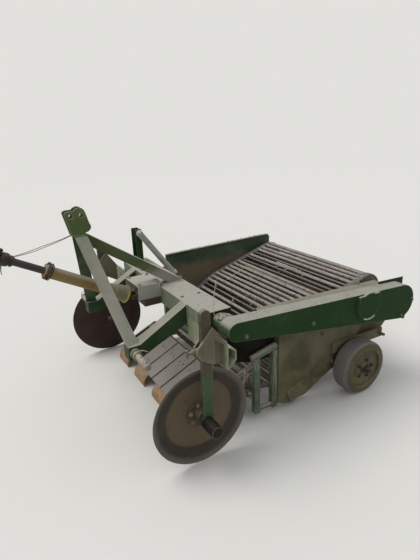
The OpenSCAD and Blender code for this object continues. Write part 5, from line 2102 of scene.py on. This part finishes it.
@dataclass
class RearFittings:
    """What sits round the chain guard: the lip of its bulge, a hook, bearing plates, a flat and a wire."""

    bulge: Flat = (-1.275, 0.668)
    bulge_radius: float = 0.090
    bulge_y: float = 0.866
    plate_y: float = 0.664
    plate_thick: float = 0.008
    plate: tuple[Flat, ...] = (
        (-1.300, 0.600), (-1.620, 0.580), (-1.715, 0.460), (-1.714, 0.394), (-1.630, 0.312),
        (-1.300, 0.290),
    )
    hook: tuple[Point, ...] = (
        (-1.700, 0.800, 0.512), (-1.724, 0.800, 0.474), (-1.738, 0.800, 0.456), (-1.726, 0.800, 0.440),
    )
    flat_low: Point = (-1.402, 0.6515, 0.732)
    flat_high: Point = (-1.382, 0.6555, 0.826)
    wire: tuple[Point, ...] = (
        (-0.198, 0.673, 0.790), (-0.190, 0.673, 0.880), (-0.205, 0.671, 0.960), (-0.216, 0.672, 1.022),
    )
    straw: tuple[Point, ...] = ((-0.919, -0.340, 0.588), (-1.050, -0.352, 0.634), (-1.161, -0.378, 0.664))

    def lip(self) -> list[Vector]:
        """Follows the bulge's lower lip.

        Returns:
            The points of its path.
        """
        x, z = self.bulge
        reach = self.bulge_radius
        angles = [math.radians(236 + 66 * k / 20) for k in range(21)]
        return [Vector((x + reach * math.cos(t), self.bulge_y, z + reach * math.sin(t))) for t in angles]

    def build(self, bench: Bench) -> None:
        """Makes the fittings.

        Args:
            bench: Where the pieces are made.
        """
        lip = Shape()
        lip.tube(self.lip(), 0.0075, 8, flat=0.7)
        lip.box(self.flat_low, self.flat_high)
        bench.piece("bulge_lip", lip.mesh(0.0006, smooth=40.0), PALE_STRUT, Slot.STEEL)
        plates = Shape()
        for inner in (self.plate_y, -self.plate_y - self.plate_thick):
            plates.plate(self.plate, lambda a, b, y: (a, inner + y, b), self.plate_thick)
        plates.tube(self.hook, 0.0070, 10)
        bench.piece("bearing_plates", plates.mesh(0.0015), IRON, Slot.IRON)
        thin = Shape()
        thin.tube(self.wire, 0.0017, 6)
        thin.tube(self.straw, 0.0024, 6)
        bench.piece("loose_wire", thin.mesh(smooth=50.0), STRAW, Slot.STEEL)


@dataclass
class StrutEnds:
    """The rounded end at the strut's top, and the collar and dark ball joint at its foot."""

    top: Point = (-0.240, -0.520, 1.059)
    foot: Point = (-0.540, -0.520, 0.640)
    radius: float = 0.024

    @staticmethod
    def ball(radius: float) -> list[Flat]:
        """Returns the outline of a ball."""
        angles = [math.pi * k / 12 for k in range(13)]
        return [(radius * math.sin(t), -radius * math.cos(t)) for t in angles]

    def build(self, bench: Bench) -> None:
        """Makes the end, the collar and the joint.

        Args:
            bench: Where the pieces are made.
        """
        top, foot = Vector(self.top), Vector(self.foot)
        along = (top - foot).normalized()
        collar = [
            (self.radius - 0.001, 0.0), (self.radius + 0.007, 0.002), (self.radius + 0.007, 0.026),
            (self.radius + 0.002, 0.032), (self.radius - 0.001, 0.032),
        ]
        shape = Shape()
        shape.lathe(collar, foot + along * 0.042, along, 32)
        shape.lathe(self.ball(self.radius + 0.003), top, along, 32)
        bench.piece("strut_end", shape.mesh(smooth=50.0), PALE_STRUT, Slot.IRON)
        joint = lathed(self.ball(self.radius + 0.012), foot + along * 0.012, along, 32, smooth=50.0)
        bench.piece("strut_joint", joint, DARK_IRON, Slot.IRON)


@dataclass(frozen=True)
class Bed:
    """A patch of a face where soil lies: a corner, two edges, the number of crumbs and their size."""

    corner: Point
    along: Point
    across: Point
    count: int
    size: float


@dataclass
class SoilAndStraw:
    """Crumbs and clods of dry soil, and a few dry stalks."""

    beds: tuple[Bed, ...] = (
        Bed((-0.315, -0.620, 0.821), (0.178, 0.0, 0.0), (0.0, 1.240, 0.0), 60, 0.0030),
        Bed((-0.275, 0.656, 0.796), (0.070, 0.0, 0.0), (0.0, 0.078, 0.006), 22, 0.0130),
        Bed((-0.320, -0.075, 0.822), (0.050, 0.0, 0.0), (0.0, 0.150, 0.0), 30, 0.0065),
        Bed((-0.452, -0.530, 0.303), (-0.468, 0.0, 0.270), (0.0, 1.060, 0.0), 50, 0.0090),
        Bed((-0.938, -0.530, 0.581), (-0.599, 0.0, 0.182), (0.0, 1.060, 0.0), 40, 0.0080),
        Bed((-0.520, -0.648, 0.819), (-1.000, 0.0, 0.019), (0.0, 0.018, 0.0), 60, 0.0050),
        Bed((-0.260, 0.752, 0.8135), (-1.300, 0.0, -0.0738), (0.0, 0.088, 0.0), 90, 0.0028),
    )
    slats: Slats = Slats()
    slat_bed: Bed = Bed((-0.060, -0.045, 0.113), (-0.250, 0.0, 0.115), (0.0, 0.090, 0.0), 9, 0.0050)
    stalks: int = 12
    stalk_radius: float = 0.0011

    def scattered(self) -> list[tuple[float, list[Vector]]]:
        """Spreads the crumbs over the beds.

        Returns:
            The size and the places of each bed's crumbs.
        """
        dice = random.Random(12)
        x, edge, z = self.slat_bed.corner
        on_slats = [replace(self.slat_bed, corner=(x, y + edge, z)) for y in self.slats.middles]
        found: list[tuple[float, list[Vector]]] = []
        for bed in (*self.beds, *on_slats):
            corner, along, across = Vector(bed.corner), Vector(bed.along), Vector(bed.across)
            places = [corner + along * dice.random() + across * dice.random() for _ in range(bed.count)]
            found.append((bed.size, places))
        return found

    def crumbs(self, bench: Bench) -> bpy.types.Mesh:
        """Makes the crumbs of all beds.

        Args:
            bench: Where their tree and material are kept.

        Returns:
            Their mesh.
        """
        work = bmesh.new()
        for number, (size, places) in enumerate(self.scattered()):
            source = mesh_of(places)
            work.from_mesh(bench.crumb_recipe.bake(source, bench.material(CLOD), Radius=size, Seed=number))
        mesh = bpy.data.meshes.new("crumbs")
        work.to_mesh(mesh)
        work.free()
        return soften(mesh, 70.0)

    def straw(self) -> bpy.types.Mesh:
        """Makes the stalks.

        Returns:
            Their mesh.
        """
        dice = random.Random(3)
        sag = Vector((0.0, 0.0, -0.010))
        shape = Shape()
        for _ in range(self.stalks):
            x = -0.430 + 0.050 * dice.random()
            y = 0.664 + 0.030 * dice.random()
            z = 0.330 + 0.080 * dice.random()
            start = Vector((x, y, z))
            way = Vector((dice.uniform(-1, 1), dice.uniform(-0.2, 0.3), dice.uniform(-1, 0.3))).normalized()
            length = dice.uniform(0.05, 0.12)
            path = [start, start + way * length * 0.5 + sag * 0.3, start + way * length + sag]
            shape.tube(path, self.stalk_radius, 5)
        return shape.mesh(smooth=60.0)

    def build(self, bench: Bench) -> None:
        """Makes the crumbs and the stalks."""
        bench.piece("soil_crumbs", self.crumbs(bench), CLOD, Slot.IRON)
        bench.piece("dry_stalks", self.straw(), STRAW, Slot.IRON)


# Floor, light and camera


@dataclass
class Studio:
    """A pale floor, soft light from all round and a broad soft lamp above."""

    floor_radius: float = 14.0
    backdrop: Colour = srgb(226, 225, 221)
    floor: Colour = srgb(224, 223, 219)
    sky: Colour = srgb(252, 253, 255)
    world_strength: float = 0.62
    lamp_strength: float = 1.5
    lamp_spread: float = math.radians(40)
    lamp_colour: Point = (1.0, 0.985, 0.96)
    lamp_turn: Point = (math.radians(24), math.radians(16), math.radians(20))

    def build(self) -> None:
        """Makes the floor, the world and the lamp."""
        shape = Shape()
        reach = self.floor_radius
        ring = shape.ring((reach * math.cos(t), reach * math.sin(t), 0.0) for t in turns(64))
        shape.faces.append(tuple(ring))
        mesh = shape.mesh()
        material = bpy.data.materials.new("Plain floor")
        material.use_nodes = True
        shader = material.node_tree.nodes["Principled BSDF"]
        shader.inputs["Base Color"].default_value = self.floor
        shader.inputs["Roughness"].default_value = 0.95
        shader.inputs["Specular IOR Level"].default_value = 0.1
        mesh.materials.append(material)
        floor = bpy.data.objects.new("floor", mesh)
        bpy.context.scene.collection.objects.link(floor)
        self.world()
        self.lamp()
        bpy.context.scene.view_settings.view_transform = "Standard"

    def world(self) -> None:
        """Makes the light from all round, and the plain backdrop that the camera sees instead."""
        world = bpy.data.worlds.new("Soft daylight")
        world.use_nodes = True
        bpy.context.scene.world = world
        graph = Graph(world.node_tree)
        world.node_tree.nodes.clear()
        path = graph.node("ShaderNodeLightPath").outputs
        seen = graph.math("MAXIMUM", path["Is Camera Ray"], path["Is Glossy Ray"])
        seen = graph.math("MAXIMUM", seen, path["Is Transmission Ray"])
        lit = graph.node("ShaderNodeBackground", {"Color": self.sky, "Strength": self.world_strength})
        shown = graph.node("ShaderNodeBackground", {"Color": self.backdrop, "Strength": 1.0})
        both = graph.node("ShaderNodeMixShader", {0: seen, 1: lit.outputs[0], 2: shown.outputs[0]})
        graph.node("ShaderNodeOutputWorld", {"Surface": both.outputs[0]})

    def lamp(self) -> None:
        """Makes the lamp."""
        lamp = bpy.data.lights.new("Broad lamp", "SUN")
        lamp.energy = self.lamp_strength
        lamp.angle = self.lamp_spread
        lamp.color = self.lamp_colour
        made = bpy.data.objects.new("broad_lamp", lamp)
        made.rotation_euler = self.lamp_turn
        bpy.context.scene.collection.objects.link(made)


@dataclass
class Viewpoint:
    """The place from which the picture was taken."""

    place: Point = (0.9676, 2.6866, 1.8431)
    heading: float = math.radians(240.395)
    downward: float = math.radians(19.37)
    lean: float = math.radians(-2.197)
    lens: float = 28.43

    def build(self, axle_x: float) -> None:
        """Makes the camera.

        Args:
            axle_x: The x of the disc axles, from which the place is counted.
        """
        level, fall = math.cos(self.downward), math.sin(self.downward)
        ahead = Vector((level * math.cos(self.heading), level * math.sin(self.heading), -fall))
        right = ahead.cross(Vector((0.0, 0.0, 1.0))).normalized()
        over = right.cross(ahead)
        cos, sin = math.cos(self.lean), math.sin(self.lean)
        across, up = right * cos + over * sin, over * cos - right * sin
        turn = Matrix((across, up, -ahead)).transposed().to_4x4()
        data = bpy.data.cameras.new("Camera")
        data.lens = self.lens
        data.sensor_width = 36.0
        data.clip_end = 60.0
        camera = bpy.data.objects.new("Camera", data)
        camera.matrix_world = Matrix.Translation(Vector(self.place) + Vector((axle_x, 0.0, 0.0))) @ turn
        bpy.context.scene.collection.objects.link(camera)
        bpy.context.scene.camera = camera


def assemblies() -> list[Any]:
    """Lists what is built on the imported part.

    Returns:
        The sub-assemblies, in the order in which they are built.
    """
    paired = (DiscCoulter, RearWheel)
    fittings = (HitchFittings, ClampScrew, SideFittings)
    return [
        SievingWeb(),
        *(kind(side) for kind in paired for side in Side),
        Driveline(),
        Mast(),
        *(kind(side) for kind in fittings for side in Side),
        Fasteners(),
        RearFittings(),
        StrutEnds(),
        SoilAndStraw(),
    ]


def main() -> None:
    """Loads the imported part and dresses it."""
    logging.basicConfig(level=logging.INFO, format="%(message)s")
    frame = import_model()
    bench = Bench(frame["nodes"])
    for node, finish in DRESSING.items():
        bench.dress(node, finish)
    for assembly in assemblies():
        assembly.build(bench)
        log.info("%s done", type(assembly).__name__)
    Studio().build()
    Viewpoint().build(bench.axle_x)
    log.info("%d pieces", bench.count)


if __name__ == "__main__":
    main()
